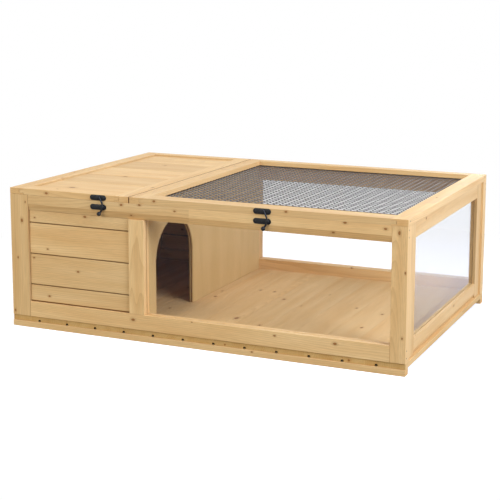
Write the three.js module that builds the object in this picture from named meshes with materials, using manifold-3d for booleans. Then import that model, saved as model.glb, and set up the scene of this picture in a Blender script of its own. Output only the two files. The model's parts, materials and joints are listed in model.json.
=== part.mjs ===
// Tortoise house: a framed timber box on two plinths, parted by a divider with an arched doorway
// into a boarded shelter and a glazed run, under two back-hinged lids that swinging hooks hold shut.
// Millimetres. +X is to the right seen from the front, +Y to the back, +Z up.
// The origin is the middle of the footprint, on the ground.

import * as THREE from 'three';
import * as BufferGeometryUtils from 'three/addons/utils/BufferGeometryUtils.js';
import Module from 'manifold-3d';

const wasm = await Module();
wasm.setup();

// Overall size
const WIDTH = 940;
const DEPTH = 650;
const HEIGHT = 322;

// Clearances
const SEAM = 0.3; // between timbers that butt, and under fittings
const OVERRUN = 2; // how far a cutting block runs past the face it opens
const RUNNING = 0.25; // round a pin in its bore

// Base
const PLINTH_HEIGHT = 14;
const PLINTH_DEPTH = 20;
const FLOOR_EDGE = 12; // the floor's thickness under the walls
const FLOOR_RISE = 8; // how much higher the floor is inside the walls
const FLOOR_SETBACK = 2; // from the front and back faces
const FLOOR_FIRST_BOARD = 69.5;
const FLOOR_PITCH = 73.5;
const FLOOR_VEE = 2.6; // half the width of the notch at a floor joint
const FLOOR_VEE_DEPTH = 3.6;

// Front and back walls
const FRAME_THICK = 25;
const RAIL = 35; // height of every wall rail
const LEFT_STILE = 47;
const SHELTER_OPENING = 259; // between the left and middle stiles
const MIDDLE_STILE = 37.5;
const RIGHT_STILE = 33.5;
const TOP_CHAMFER_HEIGHT = 14;
const TOP_CHAMFER_DEPTH = 4;

// Side walls
const SIDE_THICK = 18;
const SIDE_RECESS = 5; // from the ends of the front and back walls
const SIDE_FRONT_STILE = 47;
const SIDE_BACK_STILE = 40;
const FOOT_CHAMFER_HEIGHT = 10;
const FOOT_CHAMFER_DEPTH = 4;

// Boarding
const BOARD_THICK = 10;
const BOARD_RECESS = 5; // behind the face of the frame
const jointShares = [0.189, 0.527, 0.865]; // heights of the board joints, of the opening's height
const TONGUE = 5;
const TONGUE_THICK = 3;
const VEE = 1.6; // chamfer along each edge of a board joint

// Windows
const PANE_THICK = 3;
const PANE_BITE = 6; // how far a pane sits in its grooves
const PANE_SETBACK = 12;
const SIDE_PANE_SETBACK = 7.5;

// Divider
const DIVIDER_THICK = 9;
const DOOR_WIDTH = 180;
const DOOR_HEAD = 54; // from the arch up to the lids
const DOOR_INSET = 32; // from the inside of the front wall
const REST_HEIGHT = 18;
const REST_LAP = 3; // how far the rest reaches under the shelter's lid
const ARCH_STEPS = 24;

// Lids
const LID_THICK = 14;
const LID_GAP = 2;
const LID_LAP = 1.3; // how far the shelter's lid reaches over the middle stile
const LID_STILE = 36;
const LID_FRONT_RAIL = 42;
const LID_BACK_RAIL = 28;
const STUB = 11.5; // tenon on each end of a lid rail
const STUB_HEIGHT = 7;
const LID_BOARDS = 5;
const LID_BOARD_THICK = 9;
const LID_BOARD_RECESS = 4;

// Wire net of the run's lid
const WIRE = 1.7;
const NET_THICK = 3; // two wires, sunk into each other where they are welded
const NET_LAP = 8; // how far the net lies in the rebate of the lid frame
const NET_COLUMNS = 15;
const NET_ROWS = 15;

// Butt hinges
const HINGE_WIDTH = 40;
const HINGE_INSET = 60; // from the ends of a lid
const LEAF_THICK = 1.5;
const FIXED_LEAF = 22;
const MOVING_LEAF = 9.5;
const BARREL_RADIUS = 3;
const HINGE_PIN_RADIUS = 1.3;
const BARREL_SIDES = 16;

// Latches
const PLATE_LENGTH = 40.5;
const PLATE_HEIGHT = 12.4;
const PLATE_THICK = 1.5;
const LATCH_FROM_GAP = 76; // shelter latch, from the end of its lid
const LATCH_DROP = 13.8; // lower plate's middle under the lids
const PIVOT_OFFSET = 13.5;
const STUD_OFFSET = 1.5;
const PIVOT_RADIUS = 1.8;
const STUD_RADIUS = 1.6;
const HEAD_RADIUS = 3.1;
const HEAD_THICK = 1;
const HOOK_RADIUS = 1.7;
const HOOK_PLAY = 0.4;
const HUB_RADIUS = 4.2;
const BALL_RADIUS = 4.8;
const BALL_SIDE = 8.3; // the ball's place from the pivot
const BALL_DROP = 14.3;
const ROUND_SIDES = 18;
const HOOK_STEPS = 26;
const HOOK_SIDES = 10;

// Levels and planes worked out from the sizes above
const leftFace = -WIDTH / 2;
const rightFace = WIDTH / 2;
const frontFace = -DEPTH / 2;
const backFace = DEPTH / 2;
const wallFoot = PLINTH_HEIGHT + FLOOR_EDGE;
const floorTop = wallFoot + FLOOR_RISE;
const lidUnder = HEIGHT - LID_THICK;
const openingLow = wallFoot + RAIL;
const openingHigh = lidUnder - RAIL;
const insideFront = frontFace + FRAME_THICK;
const insideBack = backFace - FRAME_THICK;
const insideRight = rightFace - SIDE_RECESS - SIDE_THICK;
const leftStileEnd = leftFace + LEFT_STILE;
const middleStart = leftStileEnd + SHELTER_OPENING;
const middleEnd = middleStart + MIDDLE_STILE;
const rightStileStart = rightFace - RIGHT_STILE;
const dividerLeft = middleEnd - DIVIDER_THICK;
const shelterLidEnd = middleStart + LID_LAP;
const runLidStart = shelterLidEnd + LID_GAP;
const hingeBack = backFace + SEAM + BARREL_RADIUS;
const hingeLevel = lidUnder - SEAM / 2;
const wallJoints = jointShares.map((share) => openingLow + share * (openingHigh - openingLow));

// Finishes
const pine = new THREE.MeshStandardMaterial({ color: 0xd6b27c, roughness: 0.6, metalness: 0 });
const plywood = new THREE.MeshStandardMaterial({ color: 0xc9a875, roughness: 0.65, metalness: 0 });
const acrylic = new THREE.MeshStandardMaterial({
  color: 0xf2f6f6, roughness: 0.05, metalness: 0, transparent: true, opacity: 0.25,
});
const blackSteel = new THREE.MeshStandardMaterial({ color: 0x1e202a, roughness: 0.45, metalness: 0.6 });
const zincSteel = new THREE.MeshStandardMaterial({ color: 0xb4b4b2, roughness: 0.35, metalness: 0.9 });

// Solids for cutting and joining
function toSolid(geometry) {
  const bare = geometry.clone();
  bare.deleteAttribute('normal');
  bare.deleteAttribute('uv');
  const merged = BufferGeometryUtils.mergeVertices(bare);
  const vertProperties = new Float32Array(merged.attributes.position.array);
  const triVerts = new Uint32Array(merged.index.array);
  return new wasm.Manifold(new wasm.Mesh({ numProp: 3, vertProperties, triVerts }));
}

function toGeometry(solid) {
  const mesh = solid.getMesh();
  const geometry = new THREE.BufferGeometry();
  geometry.setAttribute('position', new THREE.BufferAttribute(mesh.vertProperties, 3));
  geometry.setIndex(new THREE.BufferAttribute(mesh.triVerts, 1));
  geometry.computeVertexNormals();
  return geometry;
}

function join(first, ...others) {
  let solid = toSolid(first);
  for (const other of others) solid = solid.add(toSolid(other));
  return toGeometry(solid);
}

function cut(first, ...cutters) {
  let solid = toSolid(first);
  for (const cutter of cutters) solid = solid.subtract(toSolid(cutter));
  return toGeometry(solid);
}

// A block between two corners, given as spans along X, Y and Z
function block([x0, x1], [y0, y1], [z0, z1]) {
  const geometry = new THREE.BoxGeometry(x1 - x0, y1 - y0, z1 - z0);
  return geometry.translate((x0 + x1) / 2, (y0 + y1) / 2, (z0 + z1) / 2);
}

function asShape(outline) {
  if (outline instanceof THREE.Shape) return outline;
  return new THREE.Shape(outline.map(([across, up]) => new THREE.Vector2(across, up)));
}

// An outline of [y, z] points carried along X
function alongX(outline, [x0, x1]) {
  const shape = asShape(outline);
  const options = { depth: x1 - x0, bevelEnabled: false, curveSegments: ARCH_STEPS };
  const geometry = new THREE.ExtrudeGeometry(shape, options);
  const turn = new THREE.Matrix4();
  turn.makeBasis(new THREE.Vector3(0, 1, 0), new THREE.Vector3(0, 0, 1), new THREE.Vector3(1, 0, 0));
  return geometry.applyMatrix4(turn).translate(x0, 0, 0);
}

// An outline of [x, z] points carried along Y
function alongY(outline, [y0, y1]) {
  const shape = asShape(outline);
  const options = { depth: y1 - y0, bevelEnabled: false, curveSegments: ROUND_SIDES / 2 };
  const geometry = new THREE.ExtrudeGeometry(shape, options);
  const turn = new THREE.Matrix4();
  turn.makeBasis(new THREE.Vector3(1, 0, 0), new THREE.Vector3(0, 0, 1), new THREE.Vector3(0, -1, 0));
  return geometry.applyMatrix4(turn).translate(0, y1, 0);
}

// Round bars along X and along Y, and the span of a piece with a seam at each end
function barX(radius, [x0, x1], sides) {
  const geometry = new THREE.CylinderGeometry(radius, radius, x1 - x0, sides);
  return geometry.rotateZ(Math.PI / 2).translate((x0 + x1) / 2, 0, 0);
}

function barY(radius, [y0, y1], x, z) {
  const geometry = new THREE.CylinderGeometry(radius, radius, y1 - y0, ROUND_SIDES);
  return geometry.translate(x, (y0 + y1) / 2, z);
}

function between(low, high) {
  return [low + SEAM, high - SEAM];
}

function grow([low, high], by) {
  return [low - by, high + by];
}

function ordered(a, b) {
  return [Math.min(a, b), Math.max(a, b)];
}

// A named piece: its geometry is centred on its own middle and the mesh is placed there
function piece(name, geometry, material) {
  geometry.computeBoundingBox();
  const middle = geometry.boundingBox.getCenter(new THREE.Vector3());
  geometry.translate(-middle.x, -middle.y, -middle.z);
  const mesh = new THREE.Mesh(geometry, material);
  mesh.name = name;
  mesh.position.copy(middle);
  return mesh;
}

// One tongued and grooved board as [depth from its face, place along the wall] points
function boardOutline(low, high, thick, { grooved, tongued }) {
  const near = (thick - TONGUE_THICK) / 2;
  const far = near + TONGUE_THICK;
  const points = [[0, grooved ? low + VEE : low]];
  if (grooved) {
    const lip = low + SEAM / 2;
    const bed = low + TONGUE + SEAM;
    points.push([VEE, lip], [near - SEAM, lip], [near - SEAM, bed]);
    points.push([far + SEAM, bed], [far + SEAM, lip], [thick, lip]);
  } else {
    points.push([thick, low]);
  }
  if (tongued) {
    const shoulder = high - SEAM / 2;
    const tip = high + TONGUE - SEAM;
    points.push([thick, shoulder], [far, shoulder], [far, tip]);
    points.push([near, tip], [near, shoulder], [VEE, shoulder], [0, high - VEE]);
  } else {
    points.push([thick, high], [0, high]);
  }
  return points;
}

// Boards glued up as one panel: a flat back and a vee at every joint of the face
function panelOutline(low, high, joints) {
  const points = [[0, low]];
  for (const joint of joints) points.push([0, joint - VEE], [VEE, joint], [0, joint + VEE]);
  points.push([0, high], [BOARD_THICK, high], [BOARD_THICK, low]);
  return points;
}

// Base
function makeFloor() {
  const veeTop = PLINTH_HEIGHT + FLOOR_VEE_DEPTH;
  const notched = [[leftFace, PLINTH_HEIGHT]];
  for (let x = leftFace + FLOOR_FIRST_BOARD; x < rightFace - FLOOR_PITCH / 2; x += FLOOR_PITCH) {
    notched.push([x - FLOOR_VEE, PLINTH_HEIGHT], [x, veeTop], [x + FLOOR_VEE, PLINTH_HEIGHT]);
  }
  notched.push([rightFace, PLINTH_HEIGHT], [rightFace, wallFoot], [leftFace, wallFoot]);
  const slab = alongY(notched, [frontFace + FLOOR_SETBACK, backFace - FLOOR_SETBACK]);
  const inside = [between(-insideRight, insideRight), between(insideFront, insideBack)];
  const raised = block(...inside, [(veeTop + wallFoot) / 2, floorTop]);
  return piece('floor_boards', join(slab, raised), pine);
}

function makePlinth(name, [y0, y1]) {
  return piece(name, block([leftFace, rightFace], [y0, y1], [0, PLINTH_HEIGHT - SEAM]), pine);
}

// Front and back walls: side is -1 for the front and 1 for the back
function makeLongWall(prefix, side) {
  const at = (depth) => side * (backFace - depth);
  const through = ordered(at(0), at(FRAME_THICK));
  const tall = between(wallFoot, lidUnder);
  const paneSpans = [
    grow([middleEnd, rightStileStart], PANE_BITE),
    ordered(at(PANE_SETBACK), at(PANE_SETBACK + PANE_THICK)),
    grow([openingLow, openingHigh], PANE_BITE),
  ];
  const groove = block(...paneSpans.map((span) => grow(span, SEAM)));
  const chamfered = [
    [at(0), lidUnder - SEAM], [at(FRAME_THICK), lidUnder - SEAM], [at(FRAME_THICK), openingHigh],
    [at(TOP_CHAMFER_DEPTH), openingHigh], [at(0), openingHigh + TOP_CHAMFER_HEIGHT],
  ];
  const railSpan = between(leftStileEnd, rightStileStart);
  const lowSpan = [wallFoot + SEAM, openingLow];
  const meshes = [
    piece(`${prefix}_stile_left`, block([leftFace, leftStileEnd], through, tall), pine),
    piece(`${prefix}_stile_right`, cut(block([rightStileStart, rightFace], through, tall), groove), pine),
    piece(`${prefix}_rail_top`, cut(alongX(chamfered, railSpan), groove), pine),
    piece(`${prefix}_rail_bottom`, cut(block(railSpan, through, lowSpan), groove), pine),
    piece(`${prefix}_pane`, block(...paneSpans), acrylic),
  ];
  const stile = block([middleStart, middleEnd], through, between(openingLow, openingHigh));
  meshes.push(piece(`${prefix}_stile_middle`, cut(stile, groove), pine));
  return { meshes, at };
}

function makeFrontBoards(at) {
  const edges = [openingLow + SEAM, ...wallJoints, openingHigh - SEAM];
  const span = between(leftStileEnd, middleStart);
  const boards = [];
  const count = wallJoints.length + 1;
  for (let i = 0; i < count; i += 1) {
    const ends = { grooved: i > 0, tongued: i < count - 1 };
    const outline = boardOutline(edges[i], edges[i + 1], BOARD_THICK, ends);
    const turned = outline.map(([depth, z]) => [at(BOARD_RECESS + depth), z]);
    boards.push(piece(`front_board_${count - i}`, alongX(turned, span), pine));
  }
  return boards;
}

function makeBackBoards(at) {
  const outline = panelOutline(openingLow + SEAM, openingHigh - SEAM, wallJoints);
  const turned = outline.map(([depth, z]) => [at(BOARD_RECESS + depth), z]);
  return piece('back_boards', alongX(turned, between(leftStileEnd, middleStart)), pine);
}

// Side walls: side is -1 for the left and 1 for the right
function makeSideWall(prefix, side) {
  const at = (depth) => side * (rightFace - SIDE_RECESS - depth);
  const through = ordered(at(0), at(SIDE_THICK));
  const tall = between(wallFoot, lidUnder);
  const windowFront = insideFront + SIDE_FRONT_STILE;
  const windowBack = insideBack - SIDE_BACK_STILE;
  const chamfered = [
    [at(0), openingLow], [at(SIDE_THICK), openingLow], [at(SIDE_THICK), wallFoot + SEAM],
    [at(FOOT_CHAMFER_DEPTH), wallFoot + SEAM], [at(0), wallFoot + FOOT_CHAMFER_HEIGHT],
  ];
  const paneSpans = [
    ordered(at(SIDE_PANE_SETBACK), at(SIDE_PANE_SETBACK + PANE_THICK)),
    grow([windowFront, windowBack], PANE_BITE),
    grow([openingLow, openingHigh], PANE_BITE),
  ];
  const groove = block(...paneSpans.map((span) => grow(span, SEAM)));
  const fitted = (geometry) => (side > 0 ? cut(geometry, groove) : geometry);
  const railSpan = between(windowFront, windowBack);
  const meshes = [
    piece(`${prefix}_stile_front`, fitted(block(through, [insideFront + SEAM, windowFront], tall)), pine),
    piece(`${prefix}_stile_back`, fitted(block(through, [windowBack, insideBack - SEAM], tall)), pine),
    piece(`${prefix}_rail_top`, fitted(block(through, railSpan, [openingHigh, lidUnder - SEAM])), pine),
    piece(`${prefix}_rail_bottom`, fitted(alongY(chamfered, railSpan)), pine),
  ];
  if (side > 0) {
    meshes.push(piece(`${prefix}_pane`, block(...paneSpans), acrylic));
  } else {
    const outline = panelOutline(openingLow + SEAM, openingHigh - SEAM, wallJoints);
    const turned = outline.map(([depth, z]) => [at(BOARD_RECESS + depth), z]);
    meshes.push(piece(`${prefix}_boards`, alongY(turned, railSpan), pine));
  }
  return meshes;
}

// Divider with its arched doorway, and the rest beside it under the meeting ends of the lids
function makeDivider() {
  const foot = floorTop + SEAM;
  const head = lidUnder - SEAM;
  const [front, back] = between(insideFront, insideBack);
  const doorFront = insideFront + DOOR_INSET;
  const radius = DOOR_WIDTH / 2;
  const spring = lidUnder - DOOR_HEAD - radius;
  const shape = new THREE.Shape();
  shape.moveTo(front, foot);
  shape.lineTo(doorFront, foot);
  shape.lineTo(doorFront, spring);
  shape.absarc(doorFront + radius, spring, radius, Math.PI, 0, true);
  shape.lineTo(doorFront + DOOR_WIDTH, foot);
  shape.lineTo(back, foot);
  shape.lineTo(back, head);
  shape.lineTo(front, head);
  shape.closePath();
  return piece('divider_panel', alongX(shape, [dividerLeft, middleEnd]), plywood);
}

function makeLidRest() {
  const across = [shelterLidEnd - REST_LAP, dividerLeft - SEAM];
  const level = [lidUnder - SEAM - REST_HEIGHT, lidUnder - SEAM];
  return piece('lid_rest_rail', block(across, between(insideFront, insideBack), level), pine);
}

// Lids are made in the house's frame and hung in a group whose origin is on the hinge line
function hang(x, meshes) {
  const lid = new THREE.Group();
  lid.position.set(x, hingeBack, hingeLevel);
  for (const mesh of meshes) {
    mesh.position.sub(lid.position);
    lid.add(mesh);
  }
  return lid;
}

function makeLidFrame(prefix, [x0, x1], carve) {
  const level = [lidUnder, HEIGHT];
  const mid = (lidUnder + HEIGHT) / 2;
  const stubLow = mid - STUB_HEIGHT / 2;
  const stubHigh = mid + STUB_HEIGHT / 2;
  const innerLeft = x0 + LID_STILE;
  const innerRight = x1 - LID_STILE;
  const rails = {
    front: [frontFace, frontFace + LID_FRONT_RAIL],
    back: [backFace - LID_BACK_RAIL, backFace],
  };
  const [a, b] = between(innerLeft, innerRight);
  const stubbed = [
    [a, lidUnder], [b, lidUnder], [b, stubLow], [b + STUB, stubLow], [b + STUB, stubHigh], [b, stubHigh],
    [b, HEIGHT], [a, HEIGHT], [a, stubHigh], [a - STUB, stubHigh], [a - STUB, stubLow], [a, stubLow],
  ];
  const socket = [stubLow - SEAM, stubHigh + SEAM];
  const sockets = (edge) => [
    block(grow([edge, edge], STUB + SEAM), [frontFace - OVERRUN, rails.front[1] + SEAM], socket),
    block(grow([edge, edge], STUB + SEAM), [rails.back[0] - SEAM, backFace + OVERRUN], socket),
  ];
  const stile = (span, edge) => cut(block(span, [frontFace, backFace], level), ...sockets(edge));
  return [
    piece(`${prefix}_stile_left`, carve(stile([x0, innerLeft], innerLeft)), pine),
    piece(`${prefix}_stile_right`, carve(stile([innerRight, x1], innerRight)), pine),
    piece(`${prefix}_rail_front`, carve(alongY(stubbed, rails.front)), pine),
    piece(`${prefix}_rail_back`, carve(alongY(stubbed, rails.back)), pine),
  ];
}

function makeLidBoards([x0, x1]) {
  const [low, high] = between(frontFace + LID_FRONT_RAIL, backFace - LID_BACK_RAIL);
  const pitch = (high - low) / LID_BOARDS;
  const face = HEIGHT - LID_BOARD_RECESS;
  const span = between(x0 + LID_STILE, x1 - LID_STILE);
  const boards = [];
  for (let i = 0; i < LID_BOARDS; i += 1) {
    const ends = { grooved: i > 0, tongued: i < LID_BOARDS - 1 };
    const outline = boardOutline(low + i * pitch, low + (i + 1) * pitch, LID_BOARD_THICK, ends);
    const turned = outline.map(([depth, y]) => [y, face - depth]);
    boards.push(piece(`left_lid_board_${i + 1}`, alongX(turned, span), pine));
  }
  return boards;
}

// Net: wires crossing at even steps, with a border that lies in the lid frame's rebate
function wireEdges([low, high], count) {
  const step = (high - low) / count;
  const edges = [low - NET_LAP];
  for (let i = 0; i < count; i += 1) {
    edges.push(low + i * step + WIRE / 2, low + (i + 1) * step - WIRE / 2);
  }
  edges.push(high + NET_LAP);
  return edges;
}

// A flat grid whose odd cells are gaps: corners below and above, faces round what is solid
function latticeGeometry(xs, ys, levels) {
  const positions = [];
  for (const z of levels) for (const y of ys) for (const x of xs) positions.push(x, y, z);
  const corner = (i, j, k) => (k * ys.length + j) * xs.length + i;
  const within = (i, j) => i >= 0 && j >= 0 && i < xs.length - 1 && j < ys.length - 1;
  const solid = (i, j) => within(i, j) && !(i % 2 === 1 && j % 2 === 1);
  const index = [];
  const face = (a, b, c, d) => index.push(a, b, c, a, c, d);
  const wall = ([i, j], [m, n]) => {
    face(corner(i, j, 0), corner(m, n, 0), corner(m, n, 1), corner(i, j, 1));
  };
  for (let j = 0; j < ys.length - 1; j += 1) {
    for (let i = 0; i < xs.length - 1; i += 1) {
      if (!solid(i, j)) continue;
      face(corner(i, j, 1), corner(i + 1, j, 1), corner(i + 1, j + 1, 1), corner(i, j + 1, 1));
      face(corner(i, j, 0), corner(i, j + 1, 0), corner(i + 1, j + 1, 0), corner(i + 1, j, 0));
      if (!solid(i, j - 1)) wall([i, j], [i + 1, j]);
      if (!solid(i + 1, j)) wall([i + 1, j], [i + 1, j + 1]);
      if (!solid(i, j + 1)) wall([i + 1, j + 1], [i, j + 1]);
      if (!solid(i - 1, j)) wall([i, j + 1], [i, j]);
    }
  }
  const geometry = new THREE.BufferGeometry();
  geometry.setAttribute('position', new THREE.Float32BufferAttribute(positions, 3));
  geometry.setIndex(index);
  geometry.computeVertexNormals();
  return geometry;
}

function makeNet(across, deep) {
  const level = [lidUnder + SEAM, lidUnder + SEAM + NET_THICK];
  const geometry = latticeGeometry(wireEdges(across, NET_COLUMNS), wireEdges(deep, NET_ROWS), level);
  const bed = [grow(across, NET_LAP + SEAM), grow(deep, NET_LAP + SEAM)];
  const rebate = block(...bed, grow(level, SEAM));
  const mouth = block(...bed, [lidUnder - OVERRUN, level[0]]);
  return { mesh: piece('right_lid_mesh', geometry, zincSteel), rebate: join(rebate, mouth) };
}

// Butt hinge leaves about the hinge line: the fixed leaf holds the pin, the moving one turns on it
function makeLeaf(name, x, fixed) {
  const side = fixed ? -1 : 1;
  const half = HINGE_WIDTH / 2;
  const knuckle = HINGE_WIDTH / 6;
  const plateStart = BARREL_RADIUS + SEAM;
  const plateEnd = plateStart + (fixed ? FIXED_LEAF : MOVING_LEAF);
  const skin = [-BARREL_RADIUS, -BARREL_RADIUS + LEAF_THICK];
  const plate = block([-half, half], skin, ordered(side * plateStart, side * plateEnd));
  const knuckles = fixed ? [[-half, -knuckle - SEAM], [knuckle + SEAM, half]] : [[-knuckle, knuckle]];
  const parts = [];
  for (const span of knuckles) {
    const root = (plateStart + plateEnd) / 2;
    parts.push(barX(BARREL_RADIUS, span, BARREL_SIDES), block(span, skin, ordered(0, side * root)));
  }
  if (fixed) parts.push(barX(HINGE_PIN_RADIUS, [-half, half], BARREL_SIDES));
  let geometry = join(plate, ...parts);
  if (!fixed) {
    const bore = barX(HINGE_PIN_RADIUS + RUNNING, grow([-knuckle, knuckle], OVERRUN), BARREL_SIDES);
    geometry = cut(geometry, bore);
  }
  return piece(name, geometry.translate(x, hingeBack, hingeLevel), zincSteel);
}

// Latches: a plate with the pivot on the wall, a plate with a stud on the lid, and the hook
function plateShape() {
  const round = PLATE_HEIGHT / 2;
  const reach = PLATE_LENGTH / 2 - round;
  const shape = new THREE.Shape();
  shape.absarc(reach, 0, round, -Math.PI / 2, Math.PI / 2, false);
  shape.absarc(-reach, 0, round, Math.PI / 2, 3 * Math.PI / 2, false);
  shape.closePath();
  return shape;
}

const plateFace = frontFace - SEAM - PLATE_THICK;
const hookMiddle = plateFace - HOOK_PLAY - HOOK_RADIUS;
const headBack = hookMiddle - HOOK_RADIUS - HOOK_PLAY;

function makePlate(name, x, z, post, radius) {
  const plate = alongY(plateShape(), [plateFace, frontFace - SEAM]);
  const shank = barY(radius, [headBack - HEAD_THICK / 2, frontFace - SEAM - PLATE_THICK / 2], post, 0);
  const head = barY(HEAD_RADIUS, [headBack - HEAD_THICK, headBack], post, 0);
  return piece(name, join(plate, shank, head).translate(x, 0, z), blackSteel);
}

// The hook's middle line round its pivot: ball, tail, hub, arm and the finger over the stud
const tailShares = [[0.66, 0.7], [0.28, 0.34]];
const armShares = [[0.1, 0.28], [0.26, 0.56]];

function hookLine(studSide, studRise) {
  const ballMiddle = plateFace - HOOK_PLAY - BALL_RADIUS;
  const reach = Math.hypot(studSide, studRise);
  const angle = Math.atan2(studRise, studSide);
  const grip = STUD_RADIUS + HOOK_PLAY + HOOK_RADIUS;
  const aside = Math.asin(grip / reach);
  const at = (x, z) => new THREE.Vector3(x, hookMiddle, z);
  const polar = (radius, turn) => at(radius * Math.cos(turn), radius * Math.sin(turn));
  const points = [new THREE.Vector3(-BALL_SIDE, ballMiddle, -BALL_DROP)];
  for (const [s, t] of tailShares) points.push(at(-s * BALL_SIDE, -t * BALL_DROP));
  points.push(at(0, 0));
  for (const [s, t] of armShares) points.push(at(s * studSide, t * studRise));
  points.push(polar(reach, angle - aside));
  points.push(polar(reach + grip * Math.SQRT1_2, angle - aside * Math.SQRT1_2));
  points.push(polar(reach + grip, angle));
  points.push(polar(reach + grip, angle + aside));
  return new THREE.CatmullRomCurve3(points);
}

function makeHook(name) {
  const studRise = (lidUnder + HEIGHT) / 2 - (lidUnder - LATCH_DROP);
  const section = new THREE.Shape();
  section.absarc(0, 0, HOOK_RADIUS, 0, 2 * Math.PI, false);
  const arm = new THREE.ExtrudeGeometry(section, {
    steps: HOOK_STEPS,
    curveSegments: HOOK_SIDES / 2,
    extrudePath: hookLine(STUD_OFFSET - PIVOT_OFFSET, studRise),
  });
  const hub = barY(HUB_RADIUS, grow([hookMiddle, hookMiddle], HOOK_RADIUS), 0, 0);
  const ball = new THREE.SphereGeometry(BALL_RADIUS, ROUND_SIDES, ROUND_SIDES / 2);
  ball.translate(-BALL_SIDE, plateFace - HOOK_PLAY - BALL_RADIUS, -BALL_DROP);
  const bore = barY(PIVOT_RADIUS + RUNNING, grow([hookMiddle, hookMiddle], HUB_RADIUS), 0, 0);
  return piece(name, cut(join(arm, hub, ball), bore), blackSteel);
}

function makeLatch(prefix, x) {
  const low = lidUnder - LATCH_DROP;
  const plate = makePlate(`${prefix}_latch_plate`, x, low, PIVOT_OFFSET, PIVOT_RADIUS);
  const high = (lidUnder + HEIGHT) / 2;
  const strike = makePlate(`${prefix}_strike_plate`, x, high, STUD_OFFSET, STUD_RADIUS);
  const hook = new THREE.Group();
  hook.position.set(x + PIVOT_OFFSET, 0, low);
  hook.add(makeHook(`${prefix}_hook_arm`));
  return { plate, strike, hook };
}

// House
const house = new THREE.Group();

const frontWall = makeLongWall('front', -1);
const backWall = makeLongWall('back', 1);
house.add(
  makeFloor(),
  makePlinth('plinth_front', [frontFace, frontFace + PLINTH_DEPTH]),
  makePlinth('plinth_back', [backFace - PLINTH_DEPTH, backFace]),
  ...frontWall.meshes, ...makeFrontBoards(frontWall.at),
  ...backWall.meshes, makeBackBoards(backWall.at),
  ...makeSideWall('left', -1), ...makeSideWall('right', 1),
  makeDivider(), makeLidRest(),
);

// Lids with their hinges and latches
const leftSpan = [leftFace, shelterLidEnd];
const rightSpan = [runLidStart, rightFace];
const leftLatch = makeLatch('left', shelterLidEnd - LATCH_FROM_GAP);
const rightLatch = makeLatch('right', (runLidStart + rightFace) / 2);

function makeHinges(prefix, [x0, x1]) {
  const centres = [x0 + HINGE_INSET, x1 - HINGE_INSET];
  const fixed = centres.map((x, i) => makeLeaf(`${prefix}_hinge_fixed_${i + 1}`, x, true));
  const moving = centres.map((x, i) => makeLeaf(`${prefix}_hinge_moving_${i + 1}`, x, false));
  return { fixed, moving };
}

const leftHinges = makeHinges('left_lid', leftSpan);
const rightHinges = makeHinges('right_lid', rightSpan);
const net = makeNet(
  [runLidStart + LID_STILE, rightFace - LID_STILE],
  [frontFace + LID_FRONT_RAIL, backFace - LID_BACK_RAIL],
);
const leftLid = hang(leftFace, [
  ...makeLidFrame('left_lid', leftSpan, (geometry) => geometry),
  ...makeLidBoards(leftSpan), leftLatch.strike, ...leftHinges.moving,
]);
const rightLid = hang(rightFace, [
  ...makeLidFrame('right_lid', rightSpan, (geometry) => cut(geometry, net.rebate)),
  net.mesh, rightLatch.strike, ...rightHinges.moving,
]);
house.add(
  ...leftHinges.fixed, ...rightHinges.fixed, leftLatch.plate, rightLatch.plate,
  leftLid, rightLid, leftLatch.hook, rightLatch.hook,
);

export default house;
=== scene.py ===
"""Looks of a tortoise house: pine frames, a boarded shelter, clear windows, wire net, hinges and latches.

The frame is in metres, with +X to the right seen from the front, +Y to the back and +Z up. Sizes below are
in millimetres unless a name or a comment says otherwise.
"""

from __future__ import annotations

import json
import logging
import math
import zlib
from dataclasses import dataclass
from enum import Enum
from typing import Iterable, Sequence

import bmesh
import bpy
import numpy as np
from mathutils import Matrix, Vector


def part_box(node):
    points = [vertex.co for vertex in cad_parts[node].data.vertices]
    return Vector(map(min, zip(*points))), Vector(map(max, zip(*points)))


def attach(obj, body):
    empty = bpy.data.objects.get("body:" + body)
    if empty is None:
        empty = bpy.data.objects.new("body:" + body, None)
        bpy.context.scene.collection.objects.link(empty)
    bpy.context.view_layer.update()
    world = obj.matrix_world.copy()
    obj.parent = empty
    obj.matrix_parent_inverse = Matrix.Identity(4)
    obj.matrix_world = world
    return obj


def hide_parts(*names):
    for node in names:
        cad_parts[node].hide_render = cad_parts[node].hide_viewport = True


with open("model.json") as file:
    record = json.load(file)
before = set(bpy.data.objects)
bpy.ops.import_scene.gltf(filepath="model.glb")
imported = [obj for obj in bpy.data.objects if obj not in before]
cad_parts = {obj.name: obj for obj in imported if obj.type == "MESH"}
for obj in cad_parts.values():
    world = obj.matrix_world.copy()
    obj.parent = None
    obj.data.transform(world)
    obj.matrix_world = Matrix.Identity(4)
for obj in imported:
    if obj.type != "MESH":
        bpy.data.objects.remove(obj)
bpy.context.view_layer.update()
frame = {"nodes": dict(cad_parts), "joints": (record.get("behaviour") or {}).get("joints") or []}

LOG = logging.getLogger("tortoise_house")
MM = 0.001
TINY = 1e-6
KNOT_LAYERS = ("knot_1", "knot_2", "knot_3", "knot_4")
# Nearly all values of a noise lie between these two
NOISE = (0.3, 0.7)

Tree = bpy.types.NodeTree
Node = bpy.types.Node
Socket = bpy.types.NodeSocket
Material = bpy.types.Material
Object = bpy.types.Object
Mesh = bpy.types.Mesh
BMesh = bmesh.types.BMesh
Array = np.ndarray
Pair = tuple[float, float]
Pairs = tuple[Pair, ...]


class Axis(Enum):
    """A direction of the house, by its index in a point."""

    X = 0
    Y = 1
    Z = 2

    @property
    def vector(self) -> Vector:
        """The unit vector along the axis."""
        return Vector(np.eye(3)[self.value])


class Face(Enum):
    """A face that knots were read on: its side of the house, and the axes that run across and up it."""

    FRONT = (-1, Axis.X, Axis.Z)
    RIGHT = (1, Axis.Y, Axis.Z)
    TOP = (1, Axis.X, Axis.Y)


# Colour and node helpers


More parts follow.
